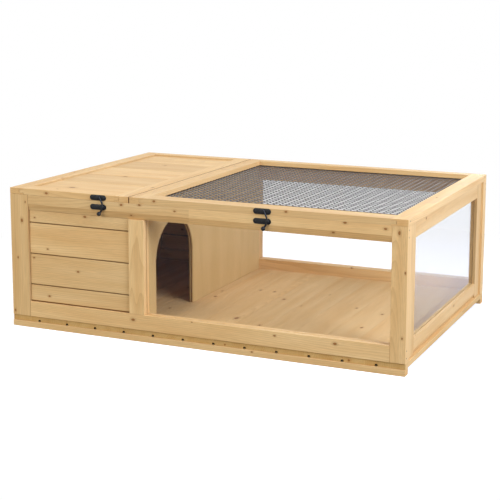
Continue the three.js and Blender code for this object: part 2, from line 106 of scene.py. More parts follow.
def linear(code: str) -> tuple[float, ...]:
    """Turn an sRGB hex colour into linear light.

    Args:
        code: Six hex digits after a hash.

    Returns:
        Red, green, blue and an alpha of one.
    """
    shares = np.array([int(code[i : i + 2], 16) for i in (1, 3, 5)]) / 255.0
    light = np.where(shares <= 0.04045, shares / 12.92, ((shares + 0.055) / 1.055) ** 2.4)
    return (*map(float, light), 1.0)


def add(tree: Tree, kind: str, *first: object, stops: Sequence[tuple] = (), **named: object) -> Node:
    """Add a node with its settings, its inputs' values or links, and its colour stops.

    A name in small letters is a setting of the node. A name with a capital is an input, with underscores
    for spaces. An input takes a value, an output, or a node, which stands for its first open output.

    Args:
        tree: The node tree.
        kind: The node's type name without the words that all types share.
        first: What goes into the first inputs, in order.
        stops: Place and hex colour of each stop of a colour ramp.
        named: Settings and further inputs.

    Returns:
        The new node.
    """
    node = tree.nodes.new(f"ShaderNode{kind}")
    inputs: dict = dict(enumerate(first))
    for name, value in named.items():
        if name.islower():
            setattr(node, name, value)
        else:
            inputs[name.replace("_", " ")] = value
    for key, value in inputs.items():
        source = next(o for o in value.outputs if not o.is_unavailable) if isinstance(value, Node) else value
        if isinstance(source, Socket):
            tree.links.new(source, node.inputs[key])
        else:
            node.inputs[key].default_value = source
    if stops:
        ramp = node.color_ramp.elements
        while len(ramp) < len(stops):
            ramp.new(1.0)
        for element, (place, code) in zip(ramp, stops):
            element.position = place
            element.color = linear(code)
    return node


def new_material(name: str) -> tuple[Material, Tree]:
    """Start a material.

    Args:
        name: The finish's own name.

    Returns:
        The material and its empty node tree.
    """
    material = bpy.data.materials.new(name)
    material.use_nodes = True
    material.node_tree.nodes.clear()
    return material, material.node_tree


def sight(tree: Tree) -> tuple[Node, Node, Node]:
    """Tell how a ray came: seen by the camera, seen through windows, or mirrored.

    A ray is seen if nothing on its way was diffuse or glossy, and mirrored if something was glossy but
    nothing diffuse.

    Args:
        tree: The node tree.

    Returns:
        Three nodes that give 0 or 1: seen, through a window, and mirrored.
    """
    path = add(tree, "LightPath").outputs
    bounced = add(tree, "Math", path["Diffuse Depth"], path["Glossy Depth"], use_clamp=True)
    diffuse = add(tree, "Math", path["Diffuse Depth"], 0.0, use_clamp=True)
    seen = add(tree, "Math", 1.0, bounced, operation="SUBTRACT")
    through = add(tree, "Math", path["Transmission Depth"], 0.0, use_clamp=True)
    mirrored = add(tree, "Math", bounced, diffuse, operation="SUBTRACT", use_clamp=True)
    return seen, through, mirrored


# Finishes


@dataclass(frozen=True)
class PlanedPine:
    """Softwood sawn from the trunk, planed smooth and left bare.

    To the eye it is pale and nearly matt, with thin brown lines of late wood, slow streaks of tone along each
    board, and small brown knots that the grain parts round. Rings are about 3.4 mm wide. A real fibre, about
    0.04 mm wide, is too fine to show, so fibres are drawn as threads 0.9 mm wide. Scales that end in per_m
    are repeats in a metre along, across and through the board.
    """

    name: str = "planed_pine"
    pale: str = "#EAC68A"
    middle: str = "#E3BB7D"
    warm: str = "#DCAF6F"
    late: str = "#C08F52"
    knot_rim: str = "#7C4C20"
    knot_heart: str = "#A0682F"
    halo: str = "#BF8D52"
    # Colours of the painted shade where parts meet, and of the painted black shade in notches
    painted_shade: str = "#6C4314"
    hole_shade: str = "#140C07"
    end: str = "#F2DBB8"
    roughness: float = 0.52
    gloss: float = 0.5
    ior: float = 1.45
    ring_mm: float = 3.4
    fibre_mm: float = 0.9
    fibre_along_per_m: float = 14.0
    # The trunk's bends are about 450 mm long and move the rings by up to half of sway_mm
    sway_per_m: tuple[float, ...] = (2.2, 16.0, 16.0)
    sway_mm: float = 22.0
    # Tone streaks are about 330 mm long and 30 mm wide, and ring widths change every 11 mm
    streak_per_m: tuple[float, ...] = (3.0, 34.0, 34.0)
    uneven_per_m: float = 90.0
    uneven: float = 1.6
    late_share: float = 0.46
    tone_share: float = 0.06
    thread: Pair = (0.91, 1.07)
    spread: float = 0.06
    # A knot is drawn out along the grain, and its edge is ruffled by a pattern of about 2.4 mm
    knot_oval: tuple[float, ...] = (0.62, 1.0, 1.0)
    knot_push: tuple[float, ...] = (0.0, -0.8, -0.8)
    knot_spread: float = -0.16
    ruffle_per_m: float = 420.0
    ruffle: float = 0.7
    # Distances in knot radii over which a knot's edge and its halo fade, and the halo's strength
    edge: Pair = (0.85, 1.15)
    halo_reach: Pair = (0.9, 3.0)
    halo_share: float = 0.55
    # Seam strengths at which the painted shade is full, and over which the painted black of a deep notch
    # takes over
    joint_shading: float = 0.45
    deep: Pair = (0.62, 0.8)
    # How high late wood stands, the fibres' share of that, and how strongly it shows
    bump_mm: float = 0.06
    fibre_rise: float = 0.6
    bump: float = 0.35

    def part_round_knots(self, tree: Tree, grain: Socket) -> tuple[Node, Node]:
        """Bend the grain round each knot, and measure how near the nearest one is.

        Each knot pushes the fibres aside by a bell curve of the distance to its middle, so that they part
        round it. Nearness is the distance over the knot's radius, ruffled by noise.

        Args:
            tree: The node tree.
            grain: The place in the board's own grain, in metres.

        Returns:
            The bent place, and the least distance in knot radii.
        """
        bent, nearest = grain, None
        for layer in KNOT_LAYERS:
            knot = add(tree, "Attribute", attribute_name=layer).outputs
            away = add(tree, "VectorMath", grain, knot["Vector"], operation="SUBTRACT")
            oval = add(tree, "VectorMath", away, self.knot_oval, operation="MULTIPLY")
            far = add(tree, "VectorMath", oval, operation="LENGTH")
            radii = add(tree, "Math", far, knot["Alpha"], operation="DIVIDE")
            square = add(tree, "Math", radii, 2.0, operation="POWER")
            fall = add(tree, "Math", square, self.knot_spread, operation="MULTIPLY")
            bell = add(tree, "Math", fall, operation="EXPONENT")
            aside = add(tree, "VectorMath", away, self.knot_push, operation="MULTIPLY")
            push = add(tree, "VectorMath", aside, Scale=bell, operation="SCALE")
            bent = add(tree, "VectorMath", bent, push, operation="ADD")
            nearest = radii if nearest is None else add(tree, "Math", nearest, radii, operation="MINIMUM")
        noise = add(tree, "TexNoise", Vector=grain, Scale=self.ruffle_per_m, Detail=3.0)
        shaken = add(tree, "Math", noise, self.ruffle, nearest, operation="MULTIPLY_ADD")
        return bent, add(tree, "Math", shaken, self.ruffle / 2.0, operation="SUBTRACT")

    def rings(self, tree: Tree, bent: Node) -> Node:
        """Growth rings: the distance from the pith, wavered along the trunk, over the ring width.

        Args:
            tree: The node tree.
            bent: The place in the grain, from the pith.

        Returns:
            A node whose value climbs from 0 to 1 over each ring.
        """
        slow = add(tree, "VectorMath", bent, self.sway_per_m, operation="MULTIPLY")
        sway = add(tree, "TexNoise", Vector=slow, Scale=1.0, Detail=2.0).outputs["Color"]
        centred = add(tree, "VectorMath", sway, (0.5, 0.5, 0.5), operation="SUBTRACT")
        moved = add(tree, "VectorMath", centred, Scale=self.sway_mm * MM, operation="SCALE")
        place = add(tree, "VectorMath", bent, moved, operation="ADD")
        flat = add(tree, "VectorMath", place, (0.0, 1.0, 1.0), operation="MULTIPLY")
        radius = add(tree, "VectorMath", flat, operation="LENGTH")
        noise = add(tree, "TexNoise", W=radius, Scale=self.uneven_per_m, Detail=1.0, noise_dimensions="1D")
        even = add(tree, "Math", radius, self.ring_mm * MM, operation="DIVIDE")
        count = add(tree, "Math", noise, self.uneven, even, operation="MULTIPLY_ADD")
        return add(tree, "Math", count, operation="FRACT")

    def build(self) -> Material:
        """Make the material.

        Returns:
            The pine material, which reads the boards' grain, tone, end grain with painted chamfer shade,
            painted seam shade and knot attributes.
        """
        material, tree = new_material(self.name)
        grain = add(tree, "Attribute", attribute_name="grain").outputs["Vector"]
        keys = ("tone", "end_grain_and_shade", "seam")
        tone, end, seam = (add(tree, "Attribute", attribute_name=key).outputs["Fac"] for key in keys)
        bent, nearness = self.part_round_knots(tree, grain)

        # Late wood takes the last third of each ring and stops sharply
        shades = ((0.0, "#000000"), (0.45, "#2A2A2A"), (0.86, "#C8C8C8"), (0.97, "#F0F0F0"), (1.0, "#101010"))
        late = add(tree, "ValToRGB", self.rings(tree, bent), stops=shades)
        late_amount = add(tree, "Math", late, self.late_share, operation="MULTIPLY")
        streaks = add(tree, "VectorMath", bent, self.streak_per_m, operation="MULTIPLY")
        broad = add(tree, "TexNoise", Vector=streaks, Scale=1.0, Detail=4.0)
        body = add(tree, "ValToRGB", broad, stops=((0.3, self.pale), (0.52, self.middle), (0.72, self.warm)))
        ringed = add(tree, "Mix", late_amount, A=body, B=linear(self.late), data_type="RGBA")
        fine = 1.0 / (self.fibre_mm * MM)
        threads = add(tree, "VectorMath", bent, (self.fibre_along_per_m, fine, fine), operation="MULTIPLY")
        fibre = add(tree, "TexNoise", Vector=threads, Scale=1.0, Detail=2.0)
        thread = add(tree, "MapRange", fibre, *NOISE, *self.thread)
        shade = add(tree, "Math", tone, self.tone_share, thread, operation="MULTIPLY_ADD")
        threaded = add(tree, "VectorMath", ringed, Scale=shade, operation="SCALE")
        tint = linear(self.end)
        colour = add(tree, "Mix", end, A=threaded, B=tint, data_type="RGBA", blend_type="MULTIPLY")

        # A knot has a dark rim, a browner heart and a warm halo in the wood round it. Joints, gaps and
        # creases get painted shade, and the notches under the floor get painted black shade
        rim, heart = self.knot_rim, self.knot_heart
        half = add(tree, "Math", nearness, 0.5, operation="MULTIPLY")
        knot = add(tree, "ValToRGB", half, stops=((0.0, rim), (0.12, heart), (0.36, heart), (0.47, rim)))
        smooth = "SMOOTHSTEP"
        reach = (*self.halo_reach, self.halo_share, 0.0)
        glow = add(tree, "MapRange", nearness, *reach, interpolation_type=smooth)
        inside = add(tree, "MapRange", nearness, *self.edge, 1.0, 0.0, interpolation_type=smooth)
        joint_shading = add(tree, "MapRange", seam, 0.0, self.joint_shading, interpolation_type=smooth)
        deep = add(tree, "MapRange", seam, *self.deep)
        layers = (
            (glow, linear(self.halo)),
            (inside, knot),
            (joint_shading, linear(self.painted_shade)),
            (deep, linear(self.hole_shade)),
        )
        for share, over in layers:
            colour = add(tree, "Mix", share, A=colour, B=over, data_type="RGBA")

        # Late wood is harder, so the plane leaves it smoother and a little proud
        rough = (self.roughness + self.spread, self.roughness - self.spread)
        matt = add(tree, "MapRange", late, 0.0, 1.0, *rough)
        height = add(tree, "Math", fibre, self.fibre_rise, late, operation="MULTIPLY_ADD")
        bump = add(tree, "Bump", Strength=self.bump, Distance=self.bump_mm * MM, Height=height)
        shader = add(
            tree,
            "BsdfPrincipled",
            Base_Color=colour,
            Roughness=matt,
            Normal=bump,
            Specular_IOR_Level=self.gloss,
            IOR=self.ior,
        )
        add(tree, "OutputMaterial", shader)
        return material


@dataclass(frozen=True)
class SandedPlywood:
    """Softwood plywood, peeled from the log, glued in three plies and sanded.

    To the eye its face is even, with a wide faint figure of about 250 by 40 mm, and a dark cross ply shows
    at a cut edge. Fibres are too fine to show, so they are drawn as threads about 1.1 mm wide. Scales that
    end in per_m are repeats in a metre along, across and through the sheet.
    """

    name: str = "sanded_plywood"
    pale: str = "#D5B376"
    warm: str = "#CDAA6B"
    dark_ply: str = "#7E5832"
    plies: int = 3
    ply_mm: float = 3.0
    roughness: float = 0.6
    gloss: float = 0.25
    figure_per_m: tuple[float, ...] = (4.0, 26.0, 26.0)
    figure_bend: float = 0.8
    figure_range: Pair = (0.32, 0.68)
    fibre_per_m: tuple[float, ...] = (22.0, 900.0, 900.0)
    thread: Pair = (0.97, 1.02)
    bump_mm: float = 0.05
    bump: float = 0.25

    def build(self) -> Material:
        """Make the material.

        The plies are bands across the sheet: the grain attribute's third value over the sheet's thickness.
        The cross ply in the middle shows its end grain, which is darker.

        Returns:
            The plywood material.
        """
        material, tree = new_material(self.name)
        grain = add(tree, "Attribute", attribute_name="grain").outputs["Vector"]
        edge = add(tree, "Attribute", attribute_name="end_grain_and_shade").outputs["Fac"]
        wide = add(tree, "VectorMath", grain, self.figure_per_m, operation="MULTIPLY")
        figure = add(tree, "TexNoise", Vector=wide, Scale=1.0, Detail=3.0, Distortion=self.figure_bend)
        pale, dark = self.pale, self.dark_ply
        face = add(tree, "ValToRGB", figure, stops=list(zip(self.figure_range, (pale, self.warm))))
        threads = add(tree, "VectorMath", grain, self.fibre_per_m, operation="MULTIPLY")
        fibre = add(tree, "TexNoise", Vector=threads, Scale=1.0, Detail=2.0)
        thread = add(tree, "MapRange", fibre, *NOISE, *self.thread)
        sanded = add(tree, "VectorMath", face, Scale=thread, operation="SCALE")
        depth = add(tree, "SeparateXYZ", grain).outputs["Z"]
        half = self.plies / 2.0 * self.ply_mm * MM
        ply = add(tree, "MapRange", depth, -half, half)
        bands = ((0.0, pale), (0.3, pale), (0.36, dark), (0.64, dark), (0.7, pale))
        crossed = add(tree, "ValToRGB", ply, stops=bands)
        colour = add(tree, "Mix", edge, A=sanded, B=crossed, data_type="RGBA")
        bump = add(tree, "Bump", Strength=self.bump, Distance=self.bump_mm * MM, Height=fibre)
        shader = add(
            tree,
            "BsdfPrincipled",
            Base_Color=colour,
            Roughness=self.roughness,
            Normal=bump,
            Specular_IOR_Level=self.gloss,
        )
        add(tree, "OutputMaterial", shader)
        return material


@dataclass(frozen=True)
class ClearAcrylic:
    """Acrylic sheet, cast between polished plates.

    To the eye it is clear and sharp in its reflections. Rays on their way to the lamps, and diffuse ones,
    pass it as if it were plain shade, which keeps the light inside clean.
    """

    name: str = "clear_acrylic"
    tint: str = "#FFFFFF"
    shade: str = "#FCFCFC"
    roughness: float = 0.02
    ior: float = 1.49

    def build(self) -> Material:
        """Make the material.

        Returns:
            The acrylic material.
        """
        material, tree = new_material(self.name)
        sheet = add(
            tree,
            "BsdfPrincipled",
            Base_Color=linear(self.tint),
            Roughness=self.roughness,
            IOR=self.ior,
            Transmission_Weight=1.0,
        )
        clear = add(tree, "BsdfTransparent", Color=linear(self.shade))
        path = add(tree, "LightPath").outputs
        plain = add(tree, "Math", path["Is Shadow Ray"], path["Is Diffuse Ray"], operation="MAXIMUM")
        add(tree, "OutputMaterial", add(tree, "MixShader", plain, sheet, clear))
        return material


@dataclass(frozen=True)
class Metal:
    """A metal finish, plated, drawn or painted.

    Its sheen and height vary with noise grain_mm wide, and its colour with clouds about eight times as wide.
    Paint skin and zinc crystals are near that size. The marks of plating, drawing and tumbling are finer than
    0.1 mm, too fine to show, so they are drawn at that size too.
    """

    name: str
    colour: str
    second: str
    grain_mm: float
    metallic: float = 1.0
    roughness: float = 0.35
    spread: float = 0.08
    lift_mm: float = 0.02
    bump: float = 0.5
    coat: float = 0.0
    coat_roughness: float = 0.25
    cloud_share: float = 0.12

    def build(self) -> Material:
        """Make the material.

        Returns:
            The metal material.
        """
        material, tree = new_material(self.name)
        place = add(tree, "TexCoord").outputs["Object"]
        scale = 1.0 / (self.grain_mm * MM)
        grain = add(tree, "TexNoise", Vector=place, Scale=scale, Detail=3.0)
        cloud = add(tree, "TexNoise", Vector=place, Scale=self.cloud_share * scale, Detail=2.0)
        colour = add(tree, "Mix", cloud, A=linear(self.colour), B=linear(self.second), data_type="RGBA")
        sheen = (self.roughness - self.spread, self.roughness + self.spread)
        rough = add(tree, "MapRange", grain, *NOISE, *sheen)
        bump = add(tree, "Bump", Strength=self.bump, Distance=self.lift_mm * MM, Height=grain)
        shader = add(
            tree,
            "BsdfPrincipled",
            Base_Color=colour,
            Metallic=self.metallic,
            Roughness=rough,
            Normal=bump,
            Coat_Weight=self.coat,
            Coat_Roughness=self.coat_roughness,
        )
        add(tree, "OutputMaterial", shader)
        return material


# Baked enamel on pressed steel gives a near black with a soft, broad highlight
BLACK_ENAMEL = Metal(
    "black_enamelled_steel",
    "#0C0D0F",
    "#131518",
    grain_mm=0.7,
    metallic=0.0,
    roughness=0.45,
    spread=0.07,
    lift_mm=0.03,
    coat=0.1,
)
# Wire dipped in zinc after welding, and weathered, gives a dull grey that glints only a little
GALVANISED = Metal(
    "galvanised_wire", "#575755", "#6C6C6A", grain_mm=1.2, metallic=0.35, roughness=0.34, lift_mm=0.03
)
# Zinc plated on pressed steel gives a light, faintly yellow grey with a satin sheen
ZINC_PLATE = Metal("zinc_plated_steel", "#B5B4AC", "#CFCDBF", grain_mm=0.8, roughness=0.33)
# Bare drawn wire gives staples a plain grey glint
BRIGHT_STAPLE = Metal("bright_steel_staple", "#9C9B98", "#BDBBB6", grain_mm=0.6, spread=0.06)
# Punched steel heads, stained by the wood round them, give dull dark dots
DARK_NAIL = Metal(
    "dark_nail_steel",
    "#3A2E25",
    "#57483A",
    grain_mm=0.5,
    metallic=0.6,
    roughness=0.55,
    spread=0.1,
    lift_mm=0.03,
)


class Wood(Enum):
    """The wood that a timber is cut from: its finish, and the record's slot."""

    PINE = (PlanedPine(), "pine")
    FLOOR = (PlanedPine(name="sanded_pine_floor", end="#E1D7B8", roughness=0.72, gloss=0.2), "pine")
    PLYWOOD = (SandedPlywood(), "plywood")


class Finishes:
    """The materials, each made once."""

    def __init__(self) -> None:
        """Build every finish of the house."""
        self.woods = {wood: wood.value[0].build() for wood in Wood}
        self.acrylic = ClearAcrylic().build()
        # A scuffed sheet greys and blurs what is behind it a little
        hazed = ClearAcrylic("clear_acrylic_hazed", tint="#E4E5E3", shade="#F4F4F3", roughness=0.035)
        self.hazed = hazed.build()
        self.black = BLACK_ENAMEL.build()
        self.wire = GALVANISED.build()
        self.zinc = ZINC_PLATE.build()
        self.staple = BRIGHT_STAPLE.build()
        self.nail = DARK_NAIL.build()


# Surfaces worked out as whole arrays


@dataclass
class Surface:
    """Points and quads of one closed shape or several."""

    points: Array
    faces: Array

    def placed(self, place: Sequence[float], turn: Array = np.eye(3)) -> Surface:
        """The same surface, with its points turned by a three by three matrix and then moved by place."""
        return Surface(self.points @ turn.T + np.asarray(place, float), self.faces)


def gather(parts: Iterable[Surface]) -> Surface:
    """Put several surfaces into one.

    Args:
        parts: The surfaces.

    Returns:
        One surface whose faces count on from part to part.
    """
    parts = list(parts)
    counts = np.cumsum([0] + [len(part.points) for part in parts[:-1]])
    faces = np.concatenate([part.faces + start for part, start in zip(parts, counts)])
    return Surface(np.concatenate([part.points for part in parts]), faces)


def ringed(points: Array) -> Surface:
    """Join rings of points by quads.

    Args:
        points: Rows of points, where the last of each row is next to its first.

    Returns:
        The surface between each ring and the one after it.
    """
    rows, columns = points.shape[:2]
    i, j = np.meshgrid(np.arange(rows - 1), np.arange(columns), indexing="ij")
    k = (j + 1) % columns
    corners = [i * columns + j, i * columns + k, (i + 1) * columns + k, (i + 1) * columns + j]
    return Surface(points.reshape(-1, 3), np.stack(corners, -1).reshape(-1, 4))


def tube(path: Array, radius: Array | float, sides: int, up: Sequence[float]) -> Surface:
    """A round bar along a path.

    Each ring lies in the plane square to the path: the middle, plus the radius times the cosine of the angle
    along one side vector and the sine along the other. The ends close by rings of no radius.

    Args:
        path: Points of the middle line, in metres.
        radius: One radius, or one for each point.
        sides: Points in a ring.
        up: A direction that the path never runs along.

    Returns:
        The bar's surface.
    """
    run = np.gradient(path, axis=0)
    run = np.concatenate([run[:1], run, run[-1:]])
    run /= np.linalg.norm(run, axis=1, keepdims=True)
    side = np.cross(run, np.asarray(up, float))
    side /= np.linalg.norm(side, axis=1, keepdims=True)
    rise = np.cross(side, run)
    angle = np.linspace(0.0, 2.0 * np.pi, sides, endpoint=False)[None, :, None]
    ring = np.cos(angle) * side[:, None] + np.sin(angle) * rise[:, None]
    radius = np.concatenate([[0.0], np.broadcast_to(radius, len(path)), [0.0]])
    path = np.concatenate([path[:1], path, path[-1:]])
    return ringed(path[:, None] + radius[:, None, None] * ring)


def lathe(profile: Sequence[Pair], sides: int) -> Surface:
    """A turned piece about the Z axis.

    Each point is the profile's radius times the cosine and sine of the angle, at the profile's height.

    Args:
        profile: Radius and height of each point, in metres.
        sides: Points in a ring.

    Returns:
        The turned surface.
    """
    radius, height = np.asarray(profile, float).T[:, :, None]
    angle = np.linspace(0.0, 2.0 * np.pi, sides, endpoint=False)
    return ringed(np.stack([radius * np.cos(angle), radius * np.sin(angle), height + 0.0 * angle], -1))


def arc(middle: Pair, radius: float, start: float, stop: float, steps: int) -> list:
    """Points of an arc, from the start angle to the stop angle in degrees."""
    turn = np.radians(np.linspace(start, stop, steps))
    return [(middle[0] + radius * math.cos(t), middle[1] + radius * math.sin(t)) for t in turn]


def pressed_plate(half: Pair, corner: float, thick: float, lip: float, dome: float, around: int) -> Surface:
    """A pressed plate with round corners, a rounded edge and a slight dome.

    A ring is the rectangle's inner corners plus the corner radius times the angle's cosine and sine. The
    rings go up the edge, round the lip by a quarter circle, and shrink to the middle while the height
    climbs by the dome's parabola.

    Args:
        half: Half the length and half the height.
        corner: Radius of the corners.
        thick: Height of the flat part.
        lip: Radius of the rounded edge.
        dome: How much higher the middle is.
        around: Points in a ring, a multiple of four.

    Returns:
        The plate, lying in the XY plane, with its back at zero.
    """
    angle = np.linspace(0.0, 2.0 * np.pi, around, endpoint=False) + np.pi / around
    reach = np.stack([np.cos(angle), np.sin(angle)], -1)
    anchor = np.sign(reach) * (np.asarray(half) - corner)
    lip_rings, dome_rings = 5, 7
    bend = np.linspace(0.0, np.pi / 2.0, lip_rings)
    inset = np.concatenate([[corner, 0.0], lip * (1.0 - np.cos(bend))])
    rims = anchor[None] + (corner - inset)[:, None, None] * reach[None]
    rims[0] = 0.0
    shrink = np.linspace(1.0, 0.0, dome_rings)[1:]
    rings = np.concatenate([rims, rims[-1][None] * shrink[:, None, None]])
    edge = thick - lip + lip * np.sin(bend)
    heights = np.concatenate([[0.0, 0.0], edge, thick + dome * (1.0 - shrink**2)])
    level = np.broadcast_to(heights[:, None, None], (*rings.shape[:2], 1))
    return ringed(np.concatenate([rings, level], -1))


def screw_head(radius: float, rise: float) -> Surface:
    """A countersunk screw head with a cross cut into it.

    The height over a polar grid is a shallow dome, less the cross: a step of the lesser of the two distances
    from the cross's middle lines, out to its reach. All but the grid's numbers are shares of the radius.

    Args:
        radius: Radius of the head.
        rise: Height of its rim over the plate.

    Returns:
        The head, facing +Z.
    """
    rings, sides = 11, 32
    slope, half_width, reach, depth, dome = 0.1, 0.15, 0.62, 0.42, 0.18
    share = np.linspace(0.0, 1.0, rings)[:, None]
    angle = np.linspace(0.0, 2.0 * np.pi, sides, endpoint=False)[None, :]
    x = radius * share * np.cos(angle)
    y = radius * share * np.sin(angle)
    away = np.minimum(np.abs(x), np.abs(y)) / radius
    slot = np.clip((half_width - away) / slope, 0.0, 1.0)
    within = np.clip((reach - share) / slope, 0.0, 1.0)
    z = rise + dome * radius * (1.0 - share**2) - depth * radius * slot * within
    head = np.stack([x, y, z], -1)
    skirt = head[-1:] * (1.0, 1.0, 0.0) - (0.0, 0.0, rise)
    return ringed(np.concatenate([head, skirt, skirt * (0.0, 0.0, 1.0)]))


def put(name: str, data: bpy.types.ID) -> Object:
    """Put a thing into the scene.

    Args:
        name: The object's name.
        data: Its mesh, lamp or camera.

    Returns:
        The new object, at the origin.
    """
    thing = bpy.data.objects.new(name, data)
    bpy.context.scene.collection.objects.link(thing)
    return thing


def make_object(name: str, surface: Surface, material: Material, smooth: float = 40.0) -> Object:
    """Put a surface into the scene, with its doubles merged and its faces turned outwards.

    Args:
        name: The piece's name.
        surface: The surface, in metres.
        material: Its finish.
        smooth: Edges sharper than this many degrees stay sharp.

    Returns:
        The new object, at the origin.
    """
    mesh = bpy.data.meshes.new(name)
    mesh.from_pydata(surface.points.tolist(), [], surface.faces.tolist())
    bm = bmesh.new()
    bm.from_mesh(mesh)
    bmesh.ops.remove_doubles(bm, verts=bm.verts, dist=TINY)
    bmesh.ops.recalc_face_normals(bm, faces=bm.faces)
    bm.to_mesh(mesh)
    bm.free()
    mesh.shade_smooth()
    mesh.set_sharp_from_angle(angle=math.radians(smooth))
    mesh.materials.append(material)
    return put(name, mesh)


def settle(piece: Object, body: str, slot: str, *nodes: str) -> None:
    """Let a piece ride on its body and stand for CAD nodes, which it hides.

    Args:
        piece: The finished piece.
        body: The body that it moves with.
        slot: The record's material slot; not used.
        nodes: The nodes that it stands for, if any.
    """
    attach(piece, body)
    if nodes:
        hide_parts(*nodes)
    LOG.info("%s on %s: %d faces", piece.name, body, len(piece.data.polygons))


# Timber


@dataclass(frozen=True)
class Knot:
    """A knot read on a face: across and up are millimetres from the face's left bottom corner."""

    face: Face
    across: float
    up: float
    radius: float

    def place(self, corner: Vector, low: Array, high: Array) -> Array:
        """Find the knot's middle on a node's own face.

        Args:
            corner: The corner of the house that knots are measured from.
            low: The node's lowest corner.
            high: The node's highest corner.

        Returns:
            The middle of the knot, in metres.
        """
        side, across, up = self.face.value
        point = np.array(high if side > 0 else low)
        point[across.value] = corner[across.value] + self.across * MM
        point[up.value] = corner[up.value] + self.up * MM
        return point


def on(face: Face, *marks: tuple[float, float, float]) -> tuple[Knot, ...]:
    """Knots on one face, each given as across, up and radius."""
    return tuple(Knot(face, *mark) for mark in marks)


@dataclass(frozen=True)
class ShadeLine:
    """Painted shade where parts meet: a plane square to an axis, and how far each side of it the dark fades
    out.

    Its numbers are metres. Strength 1 is painted black, as in a deep notch, and 0.4 a brown line. Nothing
    above the ceiling is darkened. The core is the share of the reach that is dark all over.
    """

    axis: Axis
    place: float
    reach: float
    strength: float = 0.4
    ceiling: float = 1.0
    core: float = 0.0

    def dark(self, points: Array, height: Array) -> Array:
        """How dark each point is.

        Args:
            points: The points.
            height: Height of the middle of each point's face.

        Returns:
            The strength inside the core, falling to 0 in a straight line over the rest of the reach.
        """
        away = np.abs(points[:, self.axis.value] - self.place) / self.reach
        dark = self.strength * np.clip((1.0 - away) / (1.0 - self.core), 0.0, 1.0)
        return np.where(height < self.ceiling, dark, 0.0)


@dataclass(frozen=True)
class Timber:
    """A wooden node: where its boards part, how it is jointed, and the knots read on it.

    Joints are metres along the joint axis. Tones run from -1, dark, to 1, pale, one for each board, and are
    drawn from the timber's own seed if none is given.
    """

    node: str
    body: str = "house"
    wood: Wood = Wood.PINE
    ease: float = 0.55
    joints: tuple[float, ...] = ()
    joint_axis: Axis = Axis.X
    sawn: bool = False
    grain_axis: Axis | None = None
    shade_lines: tuple[ShadeLine, ...] = ()
    tones: tuple[float, ...] = ()
    knots: tuple[Knot, ...] = ()
    wild_knots: int = 2
    shaded_chamfer: bool = False
    end_share: float = 0.35

    @property
    def boards(self) -> int:
        """How many boards it is made of."""
        return len(self.joints) + 1

    @property
    def peeled(self) -> bool:
        """Whether it is a peeled sheet, which has no pith."""
        return self.wood is Wood.PLYWOOD

    @property
    def seed(self) -> int:
        """The seed of its random numbers, from its node's name."""
        return zlib.crc32(self.node.encode())

    def lines(self) -> list[tuple[Axis, float]]:
        """The planes that its faces are split along, so that tones and shade can change there."""
        made = [] if self.sawn else [(self.joint_axis, place) for place in self.joints]
        for painted_shade in self.shade_lines:
            shares = (-1.0, -painted_shade.core, painted_shade.core, 1.0)
            made += [(painted_shade.axis, painted_shade.place + share * painted_shade.reach) for share in shares]
            made.append((Axis.Z, painted_shade.ceiling))
        return made


@dataclass
class Trunk:
    """Where a timber's boards lay in their trunks.

    The order is the axes along, across and through the boards. Offsets are metres from the pith, and tilts
    are slopes against it, one for each board.
    """

    middle: Array
    order: list[int]
    offset: Array
    tilt: Array

    def place(self, points: Array, board: Array) -> Array:
        """Turn points of the house into places in the trunk.

        Args:
            points: The points, in metres.
            board: The board that each point is on.

        Returns:
            Each point's place along, across and through the trunk.
        """
        grain = (points - self.middle)[:, self.order]
        grain[:, 2:] += self.tilt[board] * grain[:, :1]
        return grain + self.offset[board]


def fetch(items: bpy.types.bpy_prop_collection, key: str, width: int = 1, kind: type = float) -> Array:
    """Read one property of every item of a mesh.

    Args:
        items: The mesh's points, corners, faces or attribute values.
        key: The property.
        width: How many numbers it has.
        kind: The type of its numbers.

    Returns:
        The numbers, in rows of the width if that is over one.
    """
    values = np.zeros(len(items) * width, kind)
    items.foreach_get(key, values)
    return values if width == 1 else values.reshape(-1, width)


def store(mesh: Mesh, name: str, domain: str, data: Array) -> None:
    """Write an array as a mesh attribute of numbers, places or colours, by the length of its rows.

    Args:
        mesh: The mesh.
        name: The attribute's name.
        domain: What it belongs to, CORNER or FACE.
        data: The values.
    """
    width = 1 if data.ndim == 1 else data.shape[1]
    kind, key = {1: ("FLOAT", "value"), 3: ("FLOAT_VECTOR", "vector"), 4: ("FLOAT_COLOR", "color")}[width]
    mesh.attributes.new(name, kind, domain).data.foreach_set(key, data.astype(np.float32).ravel())


